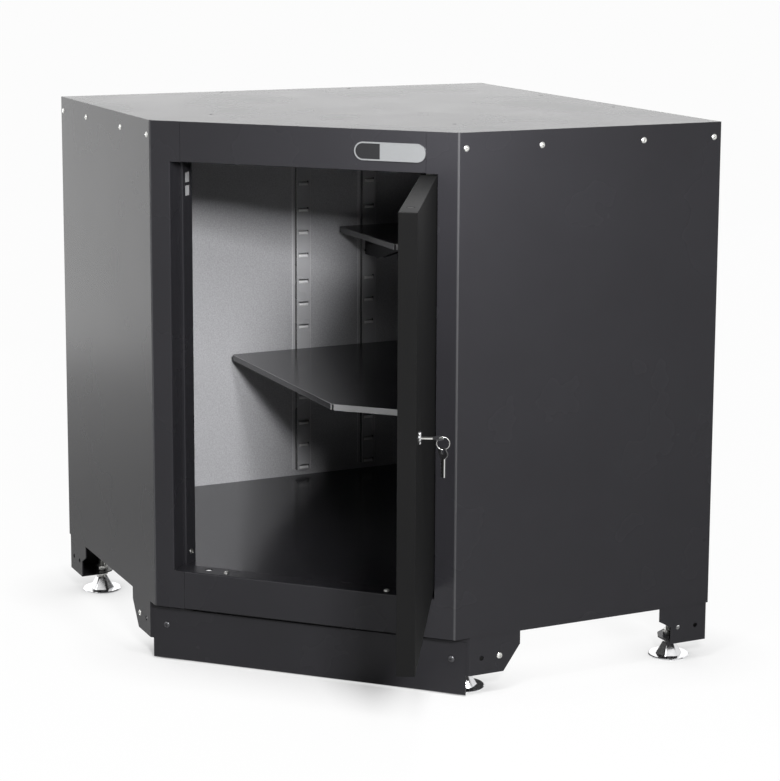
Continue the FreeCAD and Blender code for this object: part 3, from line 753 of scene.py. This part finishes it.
@dataclass
class Screws:
    """Pan-head screws with a cross recess, on side panels, sill, posts, plinth and front brackets."""

    layout: Layout
    head_radius: float = 0.0050
    head_height: float = 0.0022
    head_sides: int = 64
    rim_share: float = 0.985
    rim_rings: int = 3
    crown_share: float = 0.95
    crown_rings: int = 22
    crown_fall: float = 0.75
    recess_half_width: float = 0.0006
    recess_reach: float = 0.0024
    recess_depth: float = 0.0012
    side_runs: tuple[float, ...] = (0.013, 0.146, 0.332, 0.465)
    side_drop: float = 0.0245
    sill_spread: float = 0.141
    sill_inset: float = 0.018
    plinth_spread: float = 0.251
    plinth_drop: float = 0.038
    plinth_head_radius: float = 0.0055
    post_inset: float = 0.0565
    post_rise: float = 0.018
    link_run: float = 0.0825
    link_drop: float = 0.037
    link_inward: float = 0.0011

    def head(self, radius: float) -> Surface:
        """A pan head: height falls with the fourth power of the radius, less a cross-shaped recess.

        Args:
            radius: the head's radius.

        Returns:
            The head, standing on Z = 0.
        """
        scale = radius / self.head_radius
        share = np.concatenate([
            np.linspace(1.0, self.rim_share, self.rim_rings),
            np.linspace(self.crown_share, 0.0, self.crown_rings),
        ])[:, None]
        grid = around(divided_turn(self.head_sides), share * radius, 0.0)
        x, y = np.abs(grid[..., 0]), np.abs(grid[..., 1])
        slot = np.minimum(x, y) < self.recess_half_width * scale
        near = np.maximum(x, y) < self.recess_reach * scale
        crown = self.head_height * scale * (1.0 - self.crown_fall * share ** 4)
        grid[..., 2] = np.where(share < 1.0, crown, 0.0)
        grid[..., 2] -= np.where(slot & near, self.recess_depth * scale, 0.0)
        return woven(grid)

    def build(self, bench: Workbench) -> None:
        """Makes the five groups of screws.

        Args:
            bench: where pieces are made.
        """
        head = self.head(self.head_radius)
        big_head = self.head(self.plinth_head_radius)
        front = Vector((0.0, -1.0, 0.0))
        side_z = self.layout.top_z - self.side_drop
        sill_y = self.layout.front_y + self.sill_inset
        sill_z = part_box("front_sill")[1].z
        post_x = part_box("right_jamb_post")[0].x
        post_y = self.layout.front_y + self.post_inset
        plinth_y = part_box("plinth")[0].y
        plinth_z = self.layout.panel_bottom - self.plinth_drop
        link_z = self.layout.panel_bottom - self.link_drop
        sides, sill, posts, plinth, links = [], [], [], [], []
        for side in Side:
            way = side.value
            out = self.layout.side_normal(side)
            sides += [head.at(self.layout.along_side(run, 0.0, side_z, side), out) for run in self.side_runs]
            sill.append(head.at(Vector((way * self.sill_spread, sill_y, sill_z)), UP))
            post = Vector((way * post_x, post_y, sill_z + self.post_rise))
            posts.append(head.at(post, Vector((-way, 0.0, 0.0))))
            plinth.append(big_head.at(Vector((way * self.plinth_spread, plinth_y, plinth_z)), front))
            links.append(head.at(self.layout.along_side(self.link_run, self.link_inward, link_z, side), out))
        bench.piece("side_screws", sides, ZINC, Body.CABINET)
        bench.piece("sill_screws", sill, ZINC, Body.CABINET)
        bench.piece("post_screws", posts, ZINC, Body.CABINET)
        bench.piece("plinth_screws", plinth, DARK_STEEL, Body.CABINET)
        bench.piece("bracket_screws", links, ZINC, Body.CABINET)


@dataclass
class Feet:
    """The levelling feet: polished disc and hexagon hub, threaded stud and two nuts at the bracket."""

    layout: Layout
    disc_radius: float = 0.0345
    disc_edge: float = 0.0012
    disc_height: float = 0.003
    pad_sides: int = 96
    hub_radius: float = 0.023
    hub_corner: float = 0.97
    hub_turn: float = 0.44
    hub_rings: int = 9
    neck_radius: float = 0.0105
    neck_top: float = 0.024
    stud_radius: float = 0.006
    stud_top: float = 0.082
    stud_sides: int = 32
    thread_pitch: float = 0.00175
    thread_depth: float = 0.0006
    thread_rings: int = 8
    nut_across: float = 0.019
    nut_height: float = 0.008
    nut_sides: int = 72
    nut_rises: tuple[float, ...] = (0.0, 0.0, 0.06, 0.16, 0.84, 0.94, 1.0, 1.0)
    nut_limits: tuple[float, ...] = (0.0, 1.0, 1.07, 1.16, 1.16, 1.07, 1.0, 0.0)
    plate_low: float = 0.035
    plate: float = 0.002
    front_run: float = 0.044
    front_inset: float = 0.053
    back_run: float = 0.046

    def places(self) -> list[Vector]:
        """The plan places of the five feet."""
        back_along = self.layout.side_depth - self.back_run
        spots = [
            self.layout.along_side(run, inset, 0.0, side)
            for side in Side
            for run, inset in ((self.front_run, self.front_inset), (back_along, self.back_run))
        ]
        return spots + [self.layout.rear_corner - Vector((0.0, self.back_run / SLANT, 0.0))]

    def pad(self) -> Surface:
        """Disc and hub in one: round rings for the disc, then hexagon rings that narrow up to the neck.

        A hexagon's radius is its flat's distance over the cosine of the angle from the nearest flat's
        middle, and no more than a share of its corner's distance, which blunts the corners.

        Returns:
            The pad, standing on Z = 0.
        """
        angle = divided_turn(self.pad_sides)
        flat = math.cos(math.pi / 6.0)
        outline = np.minimum(flat * hexagon(angle - self.hub_turn - np.pi / 6.0), self.hub_corner)
        rim = self.disc_radius - self.disc_edge
        rings = np.array([
            (0.0, 0.0), (rim, 0.0), (self.disc_radius, self.disc_edge),
            (self.disc_radius, self.disc_height - self.disc_edge), (rim, self.disc_height),
        ])
        share = np.linspace(0.0, 1.0, self.hub_rings)
        hub = self.hub_radius + (self.neck_radius - self.hub_radius) * share
        climb = self.disc_height + (self.neck_top - self.disc_height) * share
        reach = np.concatenate([
            rings[:, :1] * np.ones(self.pad_sides), hub[:, None] * outline, np.zeros((1, self.pad_sides)),
        ])
        height = np.concatenate([rings[:, 1], climb, [self.neck_top]])
        return woven(around(angle, reach, height[:, None]))

    def stud(self) -> Surface:
        """A threaded stud: the radius is a triangle wave of height less the helix's climb round the axis.

        Returns:
            The stud, in place on the Z axis.
        """
        rings = int((self.stud_top - self.neck_top) / self.thread_pitch * self.thread_rings)
        angle = divided_turn(self.stud_sides)
        height = np.linspace(self.neck_top, self.stud_top, rings)[:, None]
        phase = (height / self.thread_pitch - angle / (2.0 * np.pi)) % 1.0
        radius = self.stud_radius - self.thread_depth * np.abs(2.0 * phase - 1.0)
        reach = np.concatenate([radius, np.zeros((1, self.stud_sides))])
        return woven(around(angle, reach, np.append(height, self.stud_top)[:, None]))

    def nut(self, low: float) -> Surface:
        """A hexagon nut: the radius is the hexagon's, cut back to a circle near both faces by the chamfer.

        Args:
            low: the height of the nut's lower face.

        Returns:
            The nut, in place on the Z axis.
        """
        angle = divided_turn(self.nut_sides)
        limit = np.array(self.nut_limits)[:, None]
        height = low + self.nut_height * np.array(self.nut_rises)[:, None]
        return woven(around(angle, self.nut_across / 2.0 * np.minimum(hexagon(angle), limit), height))

    def build(self, bench: Workbench) -> None:
        """Makes the pads, studs and nuts.

        Args:
            bench: where pieces are made.
        """
        places = self.places()
        shapes = [self.pad().at(spot, UP) for spot in places]
        pads = bench.piece("foot_pads", shapes, CHROME, Body.CABINET)
        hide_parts("levelling_feet")
        bench.piece("foot_studs", [self.stud().at(spot, UP) for spot in places], ZINC, Body.CABINET)
        lows = (self.plate_low - self.nut_height, self.plate_low + self.plate)
        nuts = [self.nut(low).at(spot, UP) for spot in places for low in lows]
        bench.piece("foot_nuts", nuts, ZINC, Body.CABINET)


@dataclass
class KeyLoop:
    """The wire loop through the keys, as a smooth ring in place of the CAD ring."""

    radius: float = 0.0092
    wire: float = 0.0005
    ring_sides: int = 96
    wire_sides: int = 16

    def build(self, bench: Workbench) -> None:
        """Makes the ring: a circle of wire carried round a circle in the CAD ring's plane.

        The ring's axis is the direction along which its points spread least.

        Args:
            bench: where pieces are made.
        """
        low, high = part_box("key_ring")
        centre = (low + high) / 2.0
        round_wire = divided_turn(self.wire_sides)
        reach = self.radius + self.wire * np.cos(round_wire)
        grid = around(divided_turn(self.ring_sides)[:, None], reach, self.wire * np.sin(round_wire))
        ring = woven(grid[::-1], close_rows=True)
        points = np.array([vertex.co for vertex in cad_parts["key_ring"].data.vertices])
        directions = np.linalg.svd(points - points.mean(axis=0), full_matrices=False)[2]
        axis = Vector(directions[-1])
        loop = bench.piece("key_loop", [ring.at(centre, axis)], ZINC, Body.KEYS)
        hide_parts("key_ring")


@dataclass
class Badge:
    """The blank badge: satin plate with a black enamel field over its left third."""

    rim: float = 0.0022
    recess: float = 0.0008
    share: float = 0.36
    lift: float = 0.0002
    end_steps: int = 24

    def build(self, bench: Workbench) -> None:
        """Makes the enamel field: half widths along the pill's left end, cut square at its right.

        Args:
            bench: where pieces are made.
        """
        bench.dress(BADGE_SILVER, "badge_plate")
        low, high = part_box("badge_plate")
        radius = (high.z - low.z) / 2.0 - self.rim
        start = low.x + self.rim
        end = low.x + (high.x - low.x) * self.share
        middle = (low.z + high.z) / 2.0
        turn = np.linspace(0.0, 0.5 * np.pi, self.end_steps)
        along = np.concatenate([start + radius * (1.0 - np.cos(turn)), [end]])
        half_width = np.concatenate([radius * np.sin(turn), [radius]])
        across = np.array([-1.0, 1.0])
        y = low.y + self.recess - self.lift
        grid = np.stack([
            np.repeat(along[:, None], 2, axis=1), np.full((len(along), 2), y),
            middle + half_width[:, None] * across,
        ], axis=-1)
        index = np.arange(grid.shape[0] * 2).reshape(-1, 2)
        quads = np.stack([index[:-1, 0], index[1:, 0], index[1:, 1], index[:-1, 1]], axis=-1)
        field_shape = Surface(grid.reshape(-1, 3), [tuple(quad) for quad in quads[1:].tolist()])
        bench.piece("badge_enamel", [field_shape], BADGE_BLACK, Body.CABINET)


def bar(corner: Vector, sides: tuple[Vector, Vector], length: Vector, rounding: float = 0.0005,
        steps: int = 7) -> Surface:
    """A square bar whose first corner is rounded by a quarter circle.

    Args:
        corner: the place of the corner before it is rounded, at one end.
        sides: the two sides that leave that corner.
        length: the run to the other end.
        rounding: the radius of the rounded corner.
        steps: points along the rounded corner.

    Returns:
        The closed bar.
    """
    first, second = (np.array(side) for side in sides)
    turn = np.linspace(0.0, 0.5 * np.pi, steps)[:, None]
    arc = rounding * (first / np.linalg.norm(first) * (1.0 - np.sin(turn))
                      + second / np.linalg.norm(second) * (1.0 - np.cos(turn)))
    ring = np.array(corner) + np.concatenate([arc, [second], [first + second], [first]])
    rows = [np.broadcast_to(ring.mean(axis=0), ring.shape), ring]
    run = np.array(length)
    return woven(np.stack(rows + [row + run for row in rows[::-1]]))


@dataclass
class DoorWelds:
    """Dressed welds that close the four corners of the door's folded edges."""

    notch: float = 0.0034
    thickness: float = 0.027
    inset: float = 0.0001
    rounding: float = 0.0016

    def build(self, bench: Workbench) -> None:
        """Fills each corner notch with a bar whose outer corner is rounded.

        Args:
            bench: where pieces are made.
        """
        out = Vector(DOOR_OUT)
        along = Vector(DOOR_ALONG)
        points = [vertex.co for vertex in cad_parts["door_skin"].data.vertices]
        face = max(out.dot(point) for point in points) - self.inset
        ends = [along.dot(point) for point in points]
        low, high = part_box("door_skin")
        run = out * (2.0 * self.inset - self.thickness)
        welds = []
        for edge, inward in ((max(ends) - self.inset, -self.notch), (min(ends) + self.inset, self.notch)):
            for level, climb in ((high.z - self.inset, -self.notch), (low.z + self.inset, self.notch)):
                corner = out * face + along * edge + UP * level
                welds.append(bar(corner, (along * inward, UP * climb), run, self.rounding))
        bench.piece("door_corner_welds", welds, DOOR_COAT, Body.DOOR)


@dataclass
class CatchPads:
    """Pale pads behind the windows at the top of the two posts."""

    drops: tuple[float, float] = (0.031, 0.053)
    half_width: float = 0.0098
    half_height: float = 0.0094
    behind: float = 0.0016
    depth: float = 0.003

    def build(self, bench: Workbench) -> None:
        """Makes the pads as plain bars.

        Args:
            bench: where pieces are made.
        """
        low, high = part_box("right_jamb_post")
        middle = (low.y + high.y) / 2.0
        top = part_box("front_header")[0].z
        pads = [
            bar(Vector((side.value * (low.x + self.behind), middle - self.half_width,
                        top - drop - self.half_height)),
                (Vector((0.0, 2.0 * self.half_width, 0.0)), Vector((0.0, 0.0, 2.0 * self.half_height))),
                Vector((side.value * self.depth, 0.0, 0.0)))
            for side in Side for drop in self.drops
        ]
        bench.piece("catch_pads", pads, PAD_GREY, Body.CABINET)


@dataclass
class BaseShadePlates:
    """Small dark plates put as painted shade: nuts behind the front brackets' open holes and tabs at the
    plinth's top, which hide the white floor where only shade would be seen.
    """

    layout: Layout
    nut_run: float = 0.049
    nut_drop: float = 0.037
    nut_half: float = 0.006
    nut_inward: float = 0.0035
    nut_depth: float = 0.004
    tab_start: float = 0.2045
    tab_length: float = 0.025
    tab_depth: float = 0.0112
    tab_sheet: float = 0.0011
    tab_inset: float = 0.0002
    tab_sink: float = 0.0001

    def build(self, bench: Workbench) -> None:
        """Makes nuts and tabs as plain bars.

        Args:
            bench: where pieces are made.
        """
        level = self.layout.panel_bottom - self.nut_drop - self.nut_half
        up = UP * 2.0 * self.nut_half
        low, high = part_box("plinth")
        nuts = []
        shade_tabs = []
        for side in Side:
            near, far = (self.layout.along_side(self.nut_run + reach, self.nut_inward, level, side)
                         for reach in (-self.nut_half, self.nut_half))
            nuts.append(bar(near, (far - near, up), self.layout.side_normal(side) * -self.nut_depth))
            corner = Vector((side.value * self.tab_start, low.y + self.tab_inset, high.z - self.tab_sink))
            edges = (Vector((0.0, self.tab_depth, 0.0)), UP * -self.tab_sheet)
            shade_tabs.append(bar(corner, edges, Vector((side.value * self.tab_length, 0.0, 0.0))))
        # dark pieces that stand in for the shade in the bracket holes and at the plinth's top
        bench.piece("bracket_shade_nuts", nuts, BLACK_OXIDE, Body.CABINET)
        bench.piece("plinth_shade_tabs", shade_tabs, COAT, Body.CABINET)


@dataclass
class SlotTongues:
    """The pressed tongues under the free slots of the four standards."""

    layout: Layout
    runs: tuple[float, float] = (0.383, 0.246)
    face: float = 0.0144
    first: float = 0.1825
    pitch: float = 0.0437
    group_pitch: float = 0.1379
    groups: int = 5
    per_group: int = 3
    middle_shelf: tuple[int, ...] = (4, 5)
    upper_shelf: tuple[int, ...] = (9, 10)
    width: float = 0.0186
    drop: float = 0.0055
    swell: float = 0.0019
    half_slot: float = 0.0006
    root: float = 0.0004
    rows: int = 15
    wave_points: int = 12
    sharp_turn: float = 1.0

    def heights(self, used: tuple[int, ...]) -> list[float]:
        """The heights of a strip's free slots.

        Args:
            used: the slots that shelf arms hook into.

        Returns:
            The free slots' heights.
        """
        levels = [
            self.first + group * self.group_pitch + step * self.pitch
            for group in range(self.groups) for step in range(self.per_group)
        ]
        return [level for i, level in enumerate(levels) if i not in used]

    def tongue(self) -> Surface:
        """One tongue: across the strip a half wave swells out, fading to the ends by an eighth power.

        Returns:
            The tongue, hanging below the origin, swelling along its own +Z with its width along X.
        """
        share = np.linspace(-1.0, 1.0, self.rows)[:, None]
        fade = 1.0 - share ** 8
        wave = np.linspace(0.0, np.pi, self.wave_points)
        front = np.stack([-self.drop * wave / np.pi, self.swell * np.sin(wave)], axis=-1)
        back = np.array([[-self.drop, -self.root], [0.0, -self.root]])
        ring = np.concatenate([front, back])
        y = np.broadcast_to(ring[:, 0], (self.rows, len(ring)))
        z = np.where(ring[:, 1] > 0.0, ring[:, 1] * fade, ring[:, 1])
        x = np.broadcast_to(share * self.width / 2.0, y.shape)
        body = np.stack([x, y, z], axis=-1)
        ends = [np.broadcast_to(body[i].mean(axis=0), (1, len(ring), 3)) for i in (0, -1)]
        return woven(np.concatenate([ends[0], body, ends[1]]))

    def build(self, bench: Workbench) -> None:
        """Makes the tongues of all four strips.

        Args:
            bench: where pieces are made.
        """
        shape = self.tongue()
        shapes = []
        for side in Side:
            out = Vector((-side.value * SLANT, -SLANT, 0.0))
            along = Vector((side.value * SLANT, -SLANT, 0.0))
            turn = np.array([UP.cross(out), UP, out]).T
            for run in self.runs:
                foot = self.layout.rear_corner + along * run + out * self.face
                # The upper shelf has three arms, and none on the left outer strip.
                bare = side is Side.LEFT and run == self.runs[0]
                for level in self.heights(self.middle_shelf + (() if bare else self.upper_shelf)):
                    spot = np.array((foot.x, foot.y, level - self.half_slot))
                    shapes.append(Surface(shape.points @ turn.T + spot, shape.faces))
        bench.piece("slot_tongues", shapes, TONGUE_HIGHLIGHT_COAT, Body.CABINET, sharp=self.sharp_turn)


@dataclass
class EasedEdges:
    """Copies of the pressed nodes with their long outer edges rounded, as a press leaves them."""

    radius: float = 0.0016
    least_face: float = 1.5e-4
    least_turn: float = 0.6
    flat_face: float = 2.0e-5
    steps: int = 3
    merge_reach: float = 1e-6
    coplanar_turn: float = 0.01
    round_profile: float = 0.5
    sharp_turn: float = 0.7

    def eased(self, node: str, upright: bool) -> bpy.types.Mesh:
        """A merged copy of a node's mesh, its coplanar triangles joined and its large edges rounded.

        Args:
            node: the node's name.
            upright: whether upright edges are rounded too.

        Returns:
            The new mesh.
        """
        work = bmesh.new()
        work.from_mesh(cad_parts[node].data)
        bmesh.ops.remove_doubles(work, verts=work.verts[:], dist=self.merge_reach)
        bmesh.ops.dissolve_limit(work, angle_limit=self.coplanar_turn, verts=work.verts[:],
                                 edges=work.edges[:])
        edges = [
            edge for edge in work.edges
            if len(edge.link_faces) == 2 and edge.is_convex and edge.calc_face_angle() > self.least_turn
            and min(face.calc_area() for face in edge.link_faces) > self.least_face
            and (upright or abs(edge.verts[0].co.z - edge.verts[1].co.z) < self.radius)
        ]
        bmesh.ops.bevel(work, geom=edges, offset=self.radius, offset_type="OFFSET", segments=self.steps,
                        profile=self.round_profile, affect="EDGES", clamp_overlap=True)
        mesh = bpy.data.meshes.new(node + "_eased")
        work.to_mesh(mesh)
        work.free()
        mesh.shade_smooth()
        mesh.set_sharp_from_angle(angle=self.sharp_turn)
        areas = np.empty(len(mesh.polygons))
        mesh.polygons.foreach_get("area", areas)
        mesh.polygons.foreach_set("use_smooth", areas < self.flat_face)
        return mesh

    def build(self, bench: Workbench) -> None:
        """Makes the eased copies in place of their nodes.

        Args:
            bench: where pieces are made.
        """
        jobs = [("top_panel", COAT, Body.CABINET, "paint")]
        jobs += [(node, SHELF_COAT, Body.CABINET, "paint") for node in ("middle_shelf", "upper_shelf")]
        jobs += [(node, coat, Body.CABINET, "paint") for node, coat in STRIPS.items()]
        jobs += [("door_skin", DOOR_COAT, Body.DOOR, "door_paint")]
        for node, finish, body, slot in jobs:
            copy = bench.stand(node + "_eased", self.eased(node, finish != SHELF_COAT), finish, body)
            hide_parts(node)


@dataclass
class Panels:
    """Finishes of the folded panels, door, shelving and base."""

    layout: Layout
    coated: tuple[str, ...] = (
        "front_header", "front_sill", "top_panel", "right_jamb_post",
        "left_jamb_post", "middle_shelf_arms", "upper_shelf_arms", "plinth", "front_right_bracket",
        "front_left_bracket", "back_right_bracket", "back_left_bracket", "rear_corner_bracket",
    )
    shelving: tuple[str, ...] = ("middle_shelf", "upper_shelf")
    bow_length: float = 0.0155
    door: tuple[str, ...] = ("door_skin", "door_liner")
    plated: tuple[str, ...] = ("hinge_pins", "lock_crank", "key_ring")
    rods: tuple[str, ...] = ("upper_lock_rod", "lower_lock_rod")
    polished: tuple[str, ...] = ("levelling_feet", "lock_body", "lock_plug")

    def build(self, bench: Workbench) -> None:
        """Puts the finishes on the CAD nodes.

        Args:
            bench: where finishes are kept.
        """
        bench.dress(COAT, *self.coated)
        bench.dress(FLOOR_COAT, "floor_panel")
        bench.dress(SHELF_COAT, *self.shelving)
        for node, coat in STRIPS.items():
            bench.dress(coat, node)
        bench.dress(DOOR_COAT, *self.door)
        bench.dress(ZINC, *self.plated)
        bench.dress(BLACK_OXIDE, *self.rods)
        bench.dress(CHROME, *self.polished)
        bench.dress(BUSH_NYLON, "hinge_bushes")
        self.keys(bench)
        for side in Side:
            wall = side.name.lower() + "_back_panel"
            inward = (-side.value * SLANT, -SLANT, 0.0)
            bench.dress(TwoTonePanel(wall + "_coat", OUTER_PAINT, INNER_GREY, inward), wall)
            panel = side.name.lower() + "_side_panel"
            # the side panels get a painted highlight along the fold at their front corner
            fold = tuple(self.layout.along_side(0.0, 0.0, 0.0, side))
            bench.dress(HighlightedFoldCoat(panel + "_coat", OUTER_PAINT, fold=fold), panel)
        LOG.info("finishes are on %d nodes", len(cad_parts))

    def keys(self, bench: Workbench) -> None:
        """Puts plated blades and black bows on the two keys.

        Args:
            bench: where finishes are kept.
        """
        out = Vector(DOOR_OUT)
        tip = max(out.dot(vertex.co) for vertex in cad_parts["door_key"].data.vertices)
        bench.dress(KeyMetal("door_key_metal", DOOR_OUT, tip - self.bow_length), "door_key")
        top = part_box("spare_key")[1].z
        bench.dress(KeyMetal("spare_key_metal", tuple(UP), top - self.bow_length), "spare_key")


@dataclass
class Lamp:
    """A soft rectangular studio lamp."""

    name: str
    place: Triple
    aim: Triple
    width: float
    height: float
    power: float

    def build(self) -> None:
        """Hangs the lamp and keeps it out of the camera's sight."""
        data = bpy.data.lights.new(self.name, "AREA")
        data.shape = "RECTANGLE"
        data.size = self.width
        data.size_y = self.height
        data.energy = self.power
        lamp = bpy.data.objects.new(self.name, data)
        lamp.location = self.place
        lamp.rotation_euler = (Vector(self.aim) - Vector(self.place)).to_track_quat("-Z", "Y").to_euler()
        lamp.visible_camera = False
        bpy.context.scene.collection.objects.link(lamp)


@dataclass
class Studio:
    """Pale floor, soft lamps, white surround and the camera."""

    floor_half: float = 30.0
    floor_albedo: float = 0.8
    floor_roughness: float = 0.9
    floor_glow_share: float = 0.97
    shade_reach: float = 0.15
    pool_span: tuple[float, float] = (1.0, 2.6)
    pool_light: float = 0.3
    surround_light: float = 0.06
    eye: Triple = (1.3253, -3.5380, 1.2589)
    yaw: float = 0.3334
    pitch: float = 0.1636
    roll: float = 0.0064
    focal_pixels: float = 2249.4
    axis_pixel_x: float = 415.3
    shift_down: float = 0.15
    sensor_width: float = 36.0
    sight: float = 200.0
    lamps: tuple[Lamp, ...] = (
        Lamp("key_lamp", (1.43, -2.6, 1.60), (-0.15, 0.2, 0.72), 0.36, 0.34, 118.0),
        Lamp("hinge_lamp", (0.38, -0.62, 1.06), (0.25, -0.267, 0.72), 0.12, 0.12, 6.0),
        Lamp("fill_lamp", (-2.2, -3.2, 2.6), (0.0, 0.0, 0.5), 2.0, 2.0, 38.0),
        Lamp("left_lamp", (-2.4, 1.1, 0.8), (-0.4, 0.0, 0.8), 2.0, 1.6, 10.0),
        Lamp("back_lamp", (-1.3, 5.2, 1.3), (0.0, 0.2, 0.9), 4.0, 1.0, 12.0),
    )

    @staticmethod
    def rays(nodes: Nodes) -> tuple[Socket, Socket]:
        """Tells the camera's rays and the reflected or refracted ones from the rest.

        Args:
            nodes: the tree to work in.

        Returns:
            Two sockets that are one on a camera ray, and on a glossy or transmission ray.
        """
        path = nodes.add("ShaderNodeLightPath")
        bounced = nodes.math("MAXIMUM", path.outputs["Is Glossy Ray"], path.outputs["Is Transmission Ray"])
        return path.outputs["Is Camera Ray"], bounced

    def surround(self) -> None:
        """A white surround for what the camera, gloss and glass see, and softer light for the rest."""
        world = bpy.data.worlds.new("white_studio")
        bpy.context.scene.world = world
        world.use_nodes = True
        nodes = Nodes(world.node_tree)
        background = nodes.tree.nodes["Background"]
        background.inputs["Color"].default_value = (1.0, 1.0, 1.0, 1.0)
        seen = nodes.math("MAXIMUM", *self.rays(nodes))
        nodes.link(nodes.spread(seen, (0.0, 1.0), (self.surround_light, 1.0)), background.inputs["Strength"])

    def floor(self) -> None:
        """A pale paper floor that glows white to the camera but keeps the shade under the cabinet.

        To gloss it glows from a pool of shade around the cabinet outwards.
        """
        half = self.floor_half
        mesh = bpy.data.meshes.new("paper_floor")
        mesh.from_pydata([(-half, -half, 0.0), (half, -half, 0.0), (half, half, 0.0), (-half, half, 0.0)],
                         [], [(0, 1, 2, 3)])
        shader = Shader("paper_floor")
        shader.constants(Base_Color=(self.floor_albedo,) * 3 + (1.0,), Roughness=self.floor_roughness)
        glow = shader.add("ShaderNodeEmission")
        glow.inputs["Strength"].default_value = 1.0
        under = shader.add("ShaderNodeAmbientOcclusion")
        under.inputs["Distance"].default_value = self.shade_reach
        away = shader.vectors("DISTANCE", shader.place(), (0.0, 0.0, 0.0))
        pool = shader.spread(away, self.pool_span, (self.pool_light, 1.0), smooth=True)
        eye, bounced = self.rays(shader)
        seen = shader.math("MAXIMUM", shader.math("MULTIPLY", eye, under.outputs["AO"]),
                           shader.math("MULTIPLY", bounced, pool))
        mixed = shader.add("ShaderNodeMixShader")
        shader.link(shader.math("MULTIPLY", seen, self.floor_glow_share), mixed.inputs["Fac"])
        shader.link(shader.principled.outputs["BSDF"], mixed.inputs[1])
        shader.link(glow.outputs["Emission"], mixed.inputs[2])
        shader.link(mixed.outputs["Shader"], shader.tree.nodes["Material Output"].inputs["Surface"])
        mesh.materials.append(shader.material)
        floor = bpy.data.objects.new("paper_floor", mesh)
        bpy.context.scene.collection.objects.link(floor)

    def camera(self) -> None:
        """The camera at the photograph's place, turned, tilted and rolled as fitted to it."""
        look = Vector((-math.sin(self.yaw) * math.cos(self.pitch),
                       math.cos(self.yaw) * math.cos(self.pitch), -math.sin(self.pitch)))
        level = Vector((math.cos(self.yaw), math.sin(self.yaw), 0.0))
        upright = level.cross(look)
        right = level * math.cos(self.roll) + upright * math.sin(self.roll)
        up = right.cross(look)
        data = bpy.data.cameras.new("photo_camera")
        data.sensor_width = self.sensor_width
        data.lens = self.focal_pixels * data.sensor_width / IMAGE_LONG_SIDE
        data.shift_x = (IMAGE_MIDDLE_X - self.axis_pixel_x) / IMAGE_LONG_SIDE
        data.shift_y = -self.shift_down
        data.clip_end = self.sight
        camera = bpy.data.objects.new("photo_camera", data)
        camera.matrix_world = Matrix.Translation(self.eye) @ Matrix((right, up, -look)).transposed().to_4x4()
        bpy.context.scene.collection.objects.link(camera)
        bpy.context.scene.camera = camera

    def build(self) -> None:
        """Sets up floor, lamps, surround, camera and the plain view transform."""
        self.surround()
        self.floor()
        for lamp in self.lamps:
            lamp.build()
        self.camera()
        bpy.context.scene.view_settings.view_transform = "Standard"


def main() -> None:
    """Builds finishes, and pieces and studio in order."""
    logging.basicConfig(level=logging.INFO, format="%(name)s: %(message)s")
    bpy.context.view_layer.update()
    bench = Workbench()
    layout = Layout()
    Panels(layout).build(bench)
    EasedEdges().build(bench)
    SlotTongues(layout).build(bench)
    DoorWelds().build(bench)
    CatchPads().build(bench)
    BaseShadePlates(layout).build(bench)
    Screws(layout).build(bench)
    Feet(layout).build(bench)
    KeyLoop().build(bench)
    Badge().build(bench)
    Studio().build()


if __name__ == "__main__":
    main()
